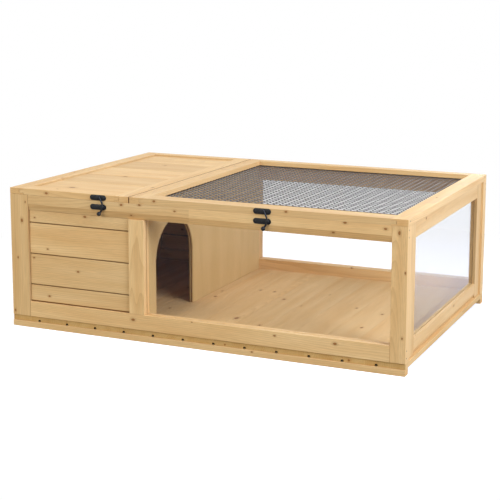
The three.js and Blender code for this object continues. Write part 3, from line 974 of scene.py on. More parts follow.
@dataclass
class Joiner:
    """Cuts eased, grained timber out of the CAD solids."""

    finishes: Finishes
    gap: float = 0.35
    weld: float = 0.002
    flat_deg: float = 0.5
    sharp_deg: float = 20.0
    # Metres from the timber to a knot that isn't there
    far: float = 9.0
    lean: float = 0.07
    pith: Pair = (24.0, 95.0)
    along_m: Pair = (0.5, 4.0)
    wild_radius: Pair = (1.1, 2.4)
    # How much end-grain tint the chamfers that slope downwards get as painted shade, and which slopes count
    # as such chamfers
    rough: float = 0.3
    chamfer: Pair = (-0.5, -0.15)
    # How squarely a face must look along the board to be its end, and through the sheet to be its face
    end_square: float = 0.7
    sheet_square: float = 0.5

    @property
    def corner(self) -> Vector:
        """The corner of the house, without its fittings, that knots are measured from."""
        return Vector((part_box("floor_boards")[0].x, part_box("plinth_front")[0].y, 0.0))

    def solid(self, node: str) -> BMesh:
        """Copy a CAD node.

        Args:
            node: The node's name.

        Returns:
            The copy, with its corners merged and its flat faces joined.
        """
        bm = bmesh.new()
        bm.from_mesh(frame["nodes"][node].data)
        bmesh.ops.remove_doubles(bm, verts=bm.verts, dist=self.weld * MM)
        limit = math.radians(self.flat_deg)
        bmesh.ops.dissolve_limit(bm, angle_limit=limit, verts=bm.verts, edges=bm.edges)
        return bm

    def cut(self, bm: BMesh, axis: Axis, place: float, drop: int = 0) -> None:
        """Split a solid's faces along a plane.

        Args:
            bm: The solid.
            axis: The axis that the plane is square to.
            place: The plane's place, in metres.
            drop: 1 takes away what lies above the plane, -1 what lies below, and 0 keeps both.
        """
        made = bmesh.ops.bisect_plane(
            bm,
            geom=bm.verts[:] + bm.edges[:] + bm.faces[:],
            dist=TINY,
            plane_co=axis.vector * place,
            plane_no=axis.vector * (drop or 1),
            clear_outer=bool(drop),
        )
        rim = [item for item in made["geom_cut"] if isinstance(item, bmesh.types.BMEdge)]
        if drop and rim:
            bmesh.ops.holes_fill(bm, edges=rim)

    def ease_edges(self, bm: BMesh, width: float) -> None:
        """Round off each sharp edge.

        Args:
            bm: The solid.
            width: How far from the edge the rounding starts, in millimetres.
        """
        limit = math.radians(self.sharp_deg)
        sharp = [e for e in bm.edges if len(e.link_faces) == 2 and e.calc_face_angle(0.0) > limit]
        bmesh.ops.bevel(
            bm,
            geom=sharp,
            offset=width * MM,
            offset_type="OFFSET",
            segments=2,
            profile=0.5,
            affect="EDGES",
            clamp_overlap=True,
        )

    def order_faces(self, bm: BMesh) -> None:
        """Put the faces into an order that is the same each run, which cuts don't leave them in.

        No two faces start with the same three corners, so those corners' numbers rank them.

        Args:
            bm: The solid.
        """
        bm.verts.index_update()
        count = len(bm.verts)
        bm.faces.sort(key=lambda face: sum(v.index * count**i for i, v in enumerate(face.verts[:3])))

    def saw(self, timber: Timber) -> list[BMesh]:
        """Cut a timber apart at its joints, with a fine gap, if it is sawn.

        Args:
            timber: The timber.

        Returns:
            Its closed boards, or the whole of it. A rail that is finger jointed stays one solid.
        """
        whole = self.solid(timber.node)
        if not timber.sawn:
            return [whole]
        axis = timber.joint_axis
        low, high = (corner[axis.value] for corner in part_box(timber.node))
        half = self.gap * MM / 2.0
        stops = [low - 1.0, *timber.joints, high + 1.0]
        parts = []
        for start, stop in zip(stops[:-1], stops[1:]):
            parts.append(whole.copy())
            self.cut(parts[-1], axis, start + half, -1)
            self.cut(parts[-1], axis, stop - half, 1)
        whole.free()
        return parts

    def build(self, timber: Timber) -> None:
        """Make the timber's piece, in place of its node, with each board's number on its faces.

        Args:
            timber: What to make.
        """
        name = f"{timber.node}_planed"
        mesh = bpy.data.meshes.new(name)
        total = bmesh.new()
        index = timber.joint_axis.value
        for number, part in enumerate(self.saw(timber)):
            self.ease_edges(part, timber.ease)
            for axis, place in timber.lines():
                self.cut(part, axis, place)
            layer = part.faces.layers.int.new("board")
            for face in part.faces:
                middle = face.calc_center_median()[index]
                face[layer] = number if timber.sawn else sum(middle > joint for joint in timber.joints)
            self.order_faces(part)
            part.to_mesh(mesh)
            part.free()
            total.from_mesh(mesh)
        total.to_mesh(mesh)
        total.free()
        self.lay_grain(mesh, timber)
        mesh.materials.append(self.finishes.woods[timber.wood])
        settle(put(name, mesh), timber.body, timber.wood.value[1], timber.node)

    def trunk_of(self, timber: Timber, low: Array, high: Array, rng: np.random.Generator) -> Trunk:
        """Draw where the timber's boards lay in their trunks.

        Each board has its pith at its own distance and angle, and slopes a little against it.

        Args:
            timber: The timber.
            low: The node's lowest corner.
            high: The node's highest corner.
            rng: The timber's own random numbers.

        Returns:
            The boards' places in their trunks.
        """
        order = list(np.argsort(low - high))
        if timber.grain_axis is not None:
            order.remove(timber.grain_axis.value)
            order.insert(0, timber.grain_axis.value)
        distance = rng.uniform(*self.pith, timber.boards) * MM
        angle = rng.uniform(0.0, 2.0 * np.pi, timber.boards)
        along = rng.uniform(*self.along_m, timber.boards)
        through = 0.0 * angle if timber.peeled else distance * np.sin(angle)
        offset = np.stack([along, distance * np.cos(angle), through], -1)
        lean = 0.0 if timber.peeled else self.lean
        tilt = np.random.default_rng(timber.seed + 1).uniform(-lean, lean, (timber.boards, 1))
        return Trunk((low + high) / 2.0, order, offset, tilt)

    def lay_grain(self, mesh: Mesh, timber: Timber) -> None:
        """Write where each corner lies in its board's grain and its painted seam shade, and each face's tone,
        end grain with painted chamfer shade, and knots.

        Args:
            mesh: The mesh to write to.
            timber: The timber that it shows.
        """
        low, high = (np.array(corner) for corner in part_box(timber.node))
        rng = np.random.default_rng(timber.seed)
        trunk = self.trunk_of(timber, low, high, rng)
        tone = np.array(timber.tones or rng.uniform(-1.0, 1.0, timber.boards))
        board = fetch(mesh.attributes["board"].data, "value", kind=np.int32)
        owner = np.repeat(np.arange(len(board)), fetch(mesh.polygons, "loop_total", kind=np.int32))
        points = fetch(mesh.vertices, "co", 3)[fetch(mesh.loops, "vertex_index", kind=np.int32)]
        normals = fetch(mesh.polygons, "normal", 3)
        store(mesh, "grain", "CORNER", trunk.place(points, board[owner]))
        store(mesh, "tone", "FACE", tone[board])

        # The cut edges of a sheet show its plies, and the ends of a board its end grain
        along, _, through = np.abs(normals[:, trunk.order]).T
        if timber.peeled:
            ends = np.where(through < self.sheet_square, 1.0, 0.0)
        else:
            ends = np.where(along > self.end_square, timber.end_share, 0.0)
        # Chamfers that slope downwards get part of the end-grain tint as painted shade
        if timber.shaded_chamfer:
            ends[(normals[:, 2] > self.chamfer[0]) & (normals[:, 2] < self.chamfer[1])] = self.rough
        store(mesh, "end_grain_and_shade", "FACE", ends)

        # Seam values paint shade along joints, gaps and creases, and black shade in the floor's notches
        height = fetch(mesh.polygons, "center", 3)[owner][:, 2]
        seam_shades = [painted_shade.dark(points, height) for painted_shade in timber.shade_lines]
        store(mesh, "seam", "CORNER", np.max([0.0 * height, *seam_shades], axis=0))

        found = self.knots_of(timber, low, high, rng)
        for number, key in enumerate(KNOT_LAYERS):
            held = np.full((timber.boards, 4), self.far)
            held[:, 3] = MM
            for index, knots in enumerate(found):
                if number < len(knots):
                    place, radius = knots[number]
                    held[index] = (*trunk.place(place[None], np.array([index]))[0], radius * MM)
            store(mesh, key, "FACE", held[board])

    def knots_of(self, timber: Timber, low: Array, high: Array, rng: np.random.Generator) -> list:
        """Each board's knots: those that were read, or else a few at places drawn from the timber's seed.

        Args:
            timber: The timber.
            low: The node's lowest corner.
            high: The node's highest corner.
            rng: The timber's own random numbers.

        Returns:
            For each board a list of place and radius.
        """
        axis = timber.joint_axis.value
        stops = [low[axis], *timber.joints, high[axis]]
        found: list[list] = [[] for _ in stops[1:]]
        for knot in timber.knots:
            place = knot.place(self.corner, low, high)
            found[sum(place[axis] > joint for joint in timber.joints)].append((place, knot.radius))
        thin = int(np.argsort(high - low)[0])
        for board, knots in enumerate(found):
            read = bool(knots)
            for _ in range(timber.wild_knots):
                place = rng.uniform(low, high)
                place[axis] = rng.uniform(stops[board], stops[board + 1])
                place[thin] = (low, high)[int(rng.integers(2))][thin]
                radius = float(rng.uniform(*self.wild_radius))
                if not read:
                    knots.append((place, radius))
        return found


@dataclass
class Woodwork:
    """A sub-assembly of timber."""

    joiner: Joiner

    def timbers(self) -> list[Timber]:
        """Its timbers, in building order."""
        return []

    def build(self) -> None:
        """Make every timber."""
        for timber in self.timbers():
            self.joiner.build(timber)


@dataclass
class Carcass(Woodwork):
    """The fixed timber: floor, plinths, four framed walls, divider and lid rest.

    Widths of shade lines are the reach each side, and those that end in dark are their strengths.
    """

    floor_first: float = 69.5
    floor_pitch: float = 73.5
    floor_joints: int = 12
    rail_joint: float = 454.0
    board_joints: tuple[float, ...] = (101.1, 172.7, 244.4)
    vee: float = 2.4
    foot: float = 3.4
    foot_dark: float = 0.55
    notch: float = 3.3
    notch_top: float = 18.8
    core: float = 0.6
    reveal: float = 1.2
    reveal_dark: float = 0.16
    line: float = 1.8
    line_dark: float = 0.22
    ground_dark: float = 0.3

    def timbers(self) -> list[Timber]:
        """Every fixed timber, with the knots that were read on its seen faces.

        Returns:
            The timbers, in building order.
        """
        left = self.joiner.corner.x
        floor = tuple(left + (self.floor_first + i * self.floor_pitch) * MM for i in range(self.floor_joints))
        wall = tuple(z * MM for z in self.board_joints)
        # Painted shade lines: in the V joints between boards, painted black in the floor's notches, along the
        # left stile's inner edge, under the lowest board at the rail, along the right wall's foot, and at
        # both edges of the right back stile
        vees = tuple(ShadeLine(Axis.Z, z, self.vee * MM) for z in wall)
        notches = tuple(
            ShadeLine(Axis.X, x, self.notch * MM, 1.0, self.notch_top * MM, self.core) for x in floor
        )
        edge = ShadeLine(Axis.X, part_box("front_stile_left")[1].x, self.reveal * MM, self.line_dark)
        foot_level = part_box("front_board_4")[0].z
        foot = ShadeLine(Axis.Z, foot_level, self.foot * MM, self.foot_dark, core=self.core)
        ground = ShadeLine(Axis.Z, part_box("right_rail_bottom")[0].z, self.line * MM, self.ground_dark)
        inner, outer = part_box("right_stile_back")
        corner = ShadeLine(Axis.Y, outer.y, self.line * MM, self.line_dark)
        reveal = ShadeLine(Axis.Y, inner.y, self.reveal * MM, self.reveal_dark)
        front, top = Face.FRONT, Face.TOP
        floor_knots = (
            *on(top, (317, 169, 2.2), (359, 365, 2.0), (367, 309, 3.2), (496, 153, 4.4), (480, 410, 2.6)),
            *on(top, (442, 411, 2.2), (567, 121, 2.2), (529, 352, 3.0), (715, 347, 2.2), (780, 195, 2.7)),
            *on(top, (787, 319, 2.5)),
            *on(front, (538, 18, 1.7), (819, 19, 2.2)),
        )
        top_rail_knots = (
            *on(front, (289, 303, 2.1), (334, 306, 1.9), (420, 299, 1.6), (313, 281, 2.2)),
            *on(front, (807, 306, 2.2), (893, 300, 2.0), (782, 283, 2.1)),
        )
        stile_knots = on(front, (30, 248, 2.6), (17, 161, 1.6), (6, 36, 1.9), (40, 291, 1.4))
        post_knots = on(front, (922, 294, 2.4), (936, 214, 1.6), (932, 79, 1.6))
        rail_knots = on(front, (315, 48, 2.6), (654, 52, 1.6), (789, 51, 2.4), (460, 59, 1.0))
        cladding = (
            ((edge, *vees[2:]), (), on(front, (193, 268, 2.2), (61, 256, 1.4))),
            ((edge, *vees[1:]), (), on(front, (94, 186, 1.4))),
            ((edge, *vees[:2]), (-0.2,), on(front, (57, 163, 1.6), (173, 141, 1.9))),
            ((edge, foot, *vees[:1]), (), on(front, (96, 77, 1.9))),
        )
        seam = (left + self.rail_joint * MM,)
        panel = {"joints": wall, "joint_axis": Axis.Z, "sawn": True, "shade_lines": vees}
        return [
            Timber(
                "floor_boards",
                wood=Wood.FLOOR,
                ease=0.5,
                joints=floor,
                sawn=True,
                grain_axis=Axis.Y,
                shade_lines=notches,
                knots=floor_knots,
                wild_knots=3,
                end_share=0.72,
            ),
            Timber("plinth_front", knots=on(front, (602, 10, 1.4))),
            Timber("plinth_back"),
            Timber("front_stile_left", shade_lines=(edge,), knots=stile_knots),
            Timber("front_stile_middle", tones=(1.0,), wild_knots=0),
            Timber("front_stile_right", tones=(0.6,), knots=post_knots),
            Timber(
                "front_rail_top", joints=seam, shaded_chamfer=True, tones=(-0.6, 1.0), knots=top_rail_knots
            ),
            Timber("front_rail_bottom", tones=(1.0,), knots=rail_knots),
            *(
                Timber(f"front_board_{number}", shade_lines=shade_lines, tones=tones, knots=knots)
                for number, (shade_lines, tones, knots) in enumerate(cladding, 1)
            ),
            *(Timber(f"back_stile_{place}") for place in ("left", "middle", "right")),
            Timber("back_rail_top", shaded_chamfer=True),
            Timber("back_rail_bottom"),
            Timber("back_boards", **panel),
            *(Timber(f"left_{part}") for part in ("stile_front", "stile_back", "rail_top")),
            Timber("left_rail_bottom", shaded_chamfer=True),
            Timber("left_boards", **panel),
            Timber("right_stile_front", shade_lines=(ground,), wild_knots=0),
            Timber("right_stile_back", shade_lines=(ground, corner, reveal), wild_knots=1),
            Timber("right_rail_top", knots=on(Face.RIGHT, (145, 300, 1.9))),
            Timber("right_rail_bottom", shade_lines=(ground,), knots=on(Face.RIGHT, (390, 53, 1.9))),
            Timber("divider_panel", wood=Wood.PLYWOOD, ease=0.5, grain_axis=Axis.Z, wild_knots=0),
            Timber("lid_rest_rail"),
        ]


@dataclass
class Lids(Woodwork):
    """The timber of both lids."""

    gap: float = 0.7
    gap_dark: float = 0.5
    rim: float = 0.9
    rim_dark: float = 0.15

    def timbers(self) -> list[Timber]:
        """Both lids' timbers, with the knots that were read on them.

        Returns:
            The timbers, in building order.
        """
        front, top = Face.FRONT, Face.TOP
        # Painted shade in the gap between the lids, and on the inner faces of the shelter lid's frame round
        # its boards
        gap = (ShadeLine(Axis.X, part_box("left_lid_stile_right")[1].x, self.gap * MM, self.gap_dark),)
        inner_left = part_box("left_lid_stile_left")[1].x
        inner_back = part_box("left_lid_rail_back")[0].y
        left_rim = (ShadeLine(Axis.X, inner_left, self.rim * MM, self.rim_dark),)
        back_rim = (ShadeLine(Axis.Y, inner_back, self.rim * MM, self.rim_dark),)
        front_knots = on(front, (97, 315, 2.2)) + on(top, (110, 25, 1.4))
        shelter = (
            ("stile_left", {"shade_lines": left_rim, "knots": on(top, (10, 255, 1.5), (33, 165, 2.2))}),
            ("stile_right", {"shade_lines": gap, "knots": on(top, (295, 132, 2.2))}),
            ("rail_front", {"shade_lines": gap, "knots": front_knots}),
            ("rail_back", {"shade_lines": back_rim, "wild_knots": 0}),
            ("board_1", {"tones": (0.3,), "knots": on(top, (116, 78, 4.4))}),
            ("board_2", {"tones": (-0.8,), "knots": on(top, (146, 268, 3.6))}),
            ("board_3", {"tones": (0.7,), "wild_knots": 0}),
            ("board_4", {"tones": (-1.0,), "knots": on(top, (146, 470, 2.6))}),
            ("board_5", {"tones": (0.5,), "wild_knots": 1}),
        )
        run = (
            ("stile_left", {"wild_knots": 1}),
            ("stile_right", {"knots": on(top, (920, 275, 1.6))}),
            ("rail_front", {"knots": on(front, (370, 317, 2.1), (678, 318, 1.9))}),
            ("rail_back", {"wild_knots": 1}),
        )
        return [
            Timber(f"{lid}_{part}", lid, **marks)
            for lid, parts in (("left_lid", shelter), ("right_lid", run))
            for part, marks in parts
        ]


# Windows, net and ironmongery


@dataclass
class Windows:
    """The clear sheets, with the sharp edge taken off."""

    joiner: Joiner
    nodes: tuple[str, ...] = ("front_pane", "back_pane", "right_pane")
    hazed: str = "right_pane"
    ease: float = 0.4

    def build(self) -> None:
        """Make each pane."""
        finishes = self.joiner.finishes
        for node in self.nodes:
            bm = self.joiner.solid(node)
            self.joiner.ease_edges(bm, self.ease)
            mesh = bpy.data.meshes.new(f"{node}_sheet")
            bm.to_mesh(mesh)
            bm.free()
            mesh.materials.append(finishes.hazed if node == self.hazed else finishes.acrylic)
            settle(put(f"{node}_sheet", mesh), "house", "clear_acrylic", node)


@dataclass
class WireNet:
    """Welded wire net: round wires one way laid on round wires the other way, and staples that hold it."""

    finishes: Finishes
    pitch: Pair = (14.65, 15.05)
    wire: float = 1.85
    # How deep the welds sink the upper wires into the lower ones
    sunk: float = 0.8
    wobble: float = 0.22
    wave_m: Pair = (0.11, 0.17)
    # The upward waves' height and length, as shares of the sideways ones
    rise: float = 0.3
    rise_length: float = 0.7
    seed: int = 11
    margin: float = 1.2
    clear: float = 0.05
    steps: int = 30
    sides: int = 6
    staple_pitch: float = 62.0
    staple_wire: float = 0.9
    staple_width: float = 9.0
    staple_inset: float = 4.0
    staple_bend: float = 1.2
    staple_leg: float = 2.2

    def laid(self, along: Axis, run: Array, aside: Array, up: Array) -> Array:
        """Points of a line by their places along an axis, across it and up."""
        return np.stack((run, aside, up) if along is Axis.X else (aside, run, up), -1)

    def one_way(self, along: Axis, starts: Array, span: Pair, level: float) -> list[Surface]:
        """Wires that run one way.

        A wire's middle is a straight line plus two slow sines, sideways and up, with its own phases.

        Args:
            along: The axis that the wires run along.
            starts: The wires' places on the other axis, in metres.
            span: The wires' ends.
            level: Height of their middles.

        Returns:
            One surface for each wire.
        """
        rng = np.random.default_rng(along.value + self.seed)
        run = np.linspace(*span, self.steps)
        wobble = self.wobble * MM
        wires = []
        for place in starts:
            phase = rng.uniform(0.0, 2.0 * np.pi, 2)
            length = rng.uniform(*self.wave_m)
            aside = place + wobble * np.sin(2.0 * np.pi * run / length + phase[0])
            waves = 2.0 * np.pi * run / (self.rise_length * length)
            up = level + self.rise * wobble * np.sin(waves + phase[1])
            path = self.laid(along, run, aside, up)
            wires.append(tube(path, self.wire * MM / 2.0, self.sides, Axis.Z.vector))
        return wires

    def staples(self, low: Vector, high: Vector) -> list[Surface]:
        """Staples round the border: a crown over the wire and two legs up into the frame.

        Args:
            low: The net's lowest corner.
            high: The net's highest corner.

        Returns:
            One surface for each staple.
        """
        inset = self.staple_inset * MM
        half = self.staple_width * MM / 2.0
        bend = self.staple_bend * MM
        level = low.z + (self.staple_wire / 2.0 + self.clear) * MM
        curve = arc((half - bend, bend), bend, -90.0, 0.0, 4)
        side = np.array([(0.0, 0.0), *curve, (half, self.staple_leg * MM)])
        across, up = np.concatenate([side[::-1] * (-1.0, 1.0), side[1:]]).T
        made = []
        for axis, other in ((Axis.X, Axis.Y), (Axis.Y, Axis.X)):
            start, stop = low[axis.value], high[axis.value]
            rows = (low[other.value] + inset, high[other.value] - inset)
            count = int((stop - start) / (self.staple_pitch * MM))
            for place in start + (np.arange(count) + 0.5) * (stop - start) / count:
                for row in rows:
                    path = self.laid(axis, place + 0.0 * across, row + across, level + up)
                    made.append(tube(path, self.staple_wire * MM / 2.0, self.sides, axis.vector))
        return made

    def build(self) -> None:
        """Make the net and its staples."""
        low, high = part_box("right_lid_mesh")
        inner = self.margin * MM
        lower = low.z + (self.wire / 2.0 + self.clear) * MM
        upper = lower + (self.wire - self.sunk) * MM
        spans = ((low.x + inner, high.x - inner), (low.y + inner, high.y - inner))
        counts = [round((stop - start) / (pitch * MM)) for (start, stop), pitch in zip(spans, self.pitch)]
        columns, rows = (np.linspace(*span, count + 1) for span, count in zip(spans, counts))
        wires = self.one_way(Axis.X, rows, spans[0], lower) + self.one_way(Axis.Y, columns, spans[1], upper)
        net = make_object("wire_net", gather(wires), self.finishes.wire, smooth=70.0)
        settle(net, "right_lid", "galvanised_wire", "right_lid_mesh")
        staples = make_object("net_staples", gather(self.staples(low, high)), self.finishes.staple)
        settle(staples, "right_lid", "galvanised_wire")


# Turns of a piece made facing +Z, so that it faces the front, the back or the right
FACE_FRONT = np.array([[1.0, 0.0, 0.0], [0.0, 0.0, -1.0], [0.0, 1.0, 0.0]])
FACE_BACK = np.array([[-1.0, 0.0, 0.0], [0.0, 0.0, 1.0], [0.0, 1.0, 0.0]])
FACE_RIGHT = np.array([[0.0, 0.0, 1.0], [0.0, 1.0, 0.0], [-1.0, 0.0, 0.0]])


def joint_place(name: str) -> Vector:
    """A point on a joint's axis."""
    return Vector(next(joint for joint in frame["joints"] if joint["name"] == name)["pos_m"])


@dataclass
class Latch:
    """A hook latch: a plate with the pivot on the wall, a plate with a stud on the lid, and the hook.

    The head line gives a post's radius, as a share of its head's, and its depth under the top. The ball line
    and the arm line are points of the hook, as shares of the way from the pivot to the ball and to the stud.
    Steps are points of the hook's curve, counted from the ball.
    """

    finishes: Finishes
    side: str
    plate_thick: float = 1.2
    lip: float = 0.7
    dome: float = 0.35
    screw_inset: float = 5.6
    screw_radius: float = 2.8
    screw_rise: float = 0.12
    # The pivot plate's second screw stands further in, beside the pivot, and the stud is off the middle
    pivot_room: float = 8.0
    stud_aside: float = 1.5
    rod: float = 1.7
    hub: float = 4.1
    hub_ease: float = 0.4
    hub_slack: float = 0.45
    ball: float = 4.8
    ball_side: float = 8.3
    ball_drop: float = 14.3
    tail: float = 2.3
    tip: float = 1.0
    curve_steps: int = 6
    tail_steps: Pair = (12, 19)
    tip_steps: int = 6
    bend_steps: float = 9.0
    stud: float = 1.6
    head: float = 3.1
    play: float = 0.4
    head_line: Pairs = ((1.0, 1.0), (1.0, 0.55), (0.86, 0.2), (0.5, 0.03), (0.0, 0.0))
    ball_line: Pairs = ((1.0, 1.0), (0.66, 0.7), (0.28, 0.34))
    arm_line: Pairs = ((0.0, 0.0), (0.1, 0.28), (0.26, 0.56))
    # Points in a ring of each shape
    plate_sides: int = 64
    turned_sides: int = 28
    ball_sides: int = 26
    ball_rings: int = 15
    rod_sides: int = 14
    # A screw sits on this share of the dome, and the rod ends at this share of the hub
    screw_seat: float = 0.6
    rod_end: float = 0.75

    def plate(self, node: str, body: str, post: Vector, name: str, screws: tuple[float, ...]) -> None:
        """Make a plate with its round post, its domed head and its screws.

        Args:
            node: The CAD plate.
            body: The body that it moves with.
            post: The post's middle.
            name: The piece's name.
            screws: The screws' places along the plate, in millimetres from its middle.
        """
        low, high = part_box(node)
        middle = (low + high) / 2.0
        half = ((high.x - low.x) / 2.0, (high.z - low.z) / 2.0)
        thick, lip, dome = self.plate_thick * MM, self.lip * MM, self.dome * MM
        base = pressed_plate(half, half[1] - TINY, thick, lip, dome, self.plate_sides)
        reach, head, stud = high.y - low.y, self.head * MM, self.stud * MM
        profile = [(0.0, 0.0), (stud, 0.0), (stud, reach - self.head_line[0][1] * MM)]
        profile += [(head * share, reach - below * MM) for share, below in self.head_line]
        parts = [
            base.placed((middle.x, high.y, middle.z), FACE_FRONT),
            lathe(profile, self.turned_sides).placed((post.x, high.y, post.z), FACE_FRONT),
        ]
        screw = screw_head(self.screw_radius * MM, self.screw_rise * MM)
        face = high.y - (self.plate_thick + self.dome * self.screw_seat) * MM
        parts += [screw.placed((middle.x + along * MM, face, middle.z), FACE_FRONT) for along in screws]
        piece = make_object(name, gather(parts), self.finishes.black, smooth=35.0)
        settle(piece, body, "black_painted_steel", node)

    def hook_line(self, pivot: Vector, stud: Vector, level: float) -> tuple[Array, Array]:
        """The hook's middle line, as a smooth curve through a few points.

        The curve is a chain of cubics that pass through the points, each with the slope of its neighbours'
        chord. The last four points lie round the stud, at the rod's distance from it.

        Args:
            pivot: The pivot's middle.
            stud: The stud's middle.
            level: The depth at which the hook turns.

        Returns:
            The points of the line, from the ball to the finger's tip, and the rod's radius at each.
        """
        aside, rise = stud.x - pivot.x, stud.z - pivot.z
        reach, turn = math.hypot(aside, rise), math.atan2(rise, aside)
        grip = (self.stud + self.play + self.rod) * MM
        lean = math.asin(grip / reach)
        half = math.sqrt(0.5)
        finger = (
            (reach, turn - lean),
            (reach + grip * half, turn - lean * half),
            (reach + grip, turn),
            (reach + grip, turn + lean),
        )
        knots = [(-a * self.ball_side * MM, -b * self.ball_drop * MM) for a, b in self.ball_line]
        knots += [(a * aside, b * rise) for a, b in self.arm_line]
        knots += [(radius * math.cos(angle), radius * math.sin(angle)) for radius, angle in finger]
        flat = np.array(knots)
        padded = np.concatenate([[2.0 * flat[0] - flat[1]], flat, [2.0 * flat[-1] - flat[-2]]])[:, None]
        a, b, c, d = (padded[i : len(padded) - 3 + i] for i in range(4))
        share = np.linspace(0.0, 1.0, self.curve_steps + 1)[:-1, None]
        square = (2.0 * a - 5.0 * b + 4.0 * c - d) * share**2
        cube = (3.0 * b - a - 3.0 * c + d) * share**3
        curve = 0.5 * (2.0 * b + (c - a) * share + square + cube)
        line = np.concatenate([curve.reshape(-1, 2), flat[-1:]])

        # The tail is thicker up to the pivot, the tip is thin, and the tail bends forward to the ball
        step, last = np.arange(len(line)), len(line)
        sizes = (self.tail, self.tail, self.rod, self.rod, self.tip)
        radius = np.interp(step, (0, *self.tail_steps, last - self.tip_steps, last), sizes)
        fade = np.clip(1.0 - step / self.bend_steps, 0.0, 1.0) * (self.ball - self.rod)
        depth = level - np.maximum(fade, radius - self.rod) * MM
        return np.stack([pivot.x + line[:, 0], depth, pivot.z + line[:, 1]], -1), radius * MM

    def hook(self, pivot: Vector, stud: Vector) -> None:
        """Make the hook: ball, rod, flattened hub and finger.

        Args:
            pivot: The pivot's middle.
            stud: The stud's middle.
        """
        node = f"{self.side}_hook_arm"
        _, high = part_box(node)
        level = high.y - self.rod * MM
        line, radius = self.hook_line(pivot, stud, level)
        free = np.hypot(line[:, 0] - pivot.x, line[:, 2] - pivot.z) > self.rod_end * self.hub * MM
        tail, arm = slice(0, np.argmin(free)), slice(len(free) - np.argmin(free[::-1]), None)
        parts = [tube(line[part], radius[part], self.rod_sides, Axis.Y.vector) for part in (tail, arm)]
        ball = lathe(arc((0.0, 0.0), self.ball * MM, -90.0, 90.0, self.ball_rings), self.ball_sides)
        aside, drop = pivot.x - self.ball_side * MM, pivot.z - self.ball_drop * MM
        parts.append(ball.placed((aside, high.y - self.ball * MM, drop)))
        rim, bore, thick = self.hub * MM, (self.stud + self.hub_slack) * MM, self.rod * MM
        ease = self.hub_ease * MM
        ring = [(bore, -thick), (rim - ease, -thick), (rim, ease - thick), (rim, thick - ease)]
        ring += [(rim - ease, thick), (bore, thick), (bore, -thick)]
        parts.append(lathe(ring, self.turned_sides).placed((pivot.x, level, pivot.z), FACE_FRONT))
        piece = make_object(f"{self.side}_hook", gather(parts), self.finishes.black, smooth=50.0)
        settle(piece, f"{self.side}_hook", "black_painted_steel", node)

    def build(self) -> None:
        """Make both plates and the hook."""
        wall, lid = f"{self.side}_latch_plate", f"{self.side}_strike_plate"
        pivot = joint_place(f"{self.side}_hook_pivot")
        low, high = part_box(lid)
        wall_low, wall_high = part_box(wall)
        middle = (wall_low.x + wall_high.x) / 2.0
        stud = Vector((middle + self.stud_aside * MM, 0.0, (low.z + high.z) / 2.0))
        ends = (wall_high.x - wall_low.x) / 2.0 / MM - self.screw_inset
        self.plate(wall, "house", pivot, f"{self.side}_pivot_plate", (-ends, 0.5 * ends - self.pivot_room))
        self.plate(lid, f"{self.side}_lid", stud, f"{self.side}_stud_plate", (-ends, ends))
        self.hook(pivot, stud)


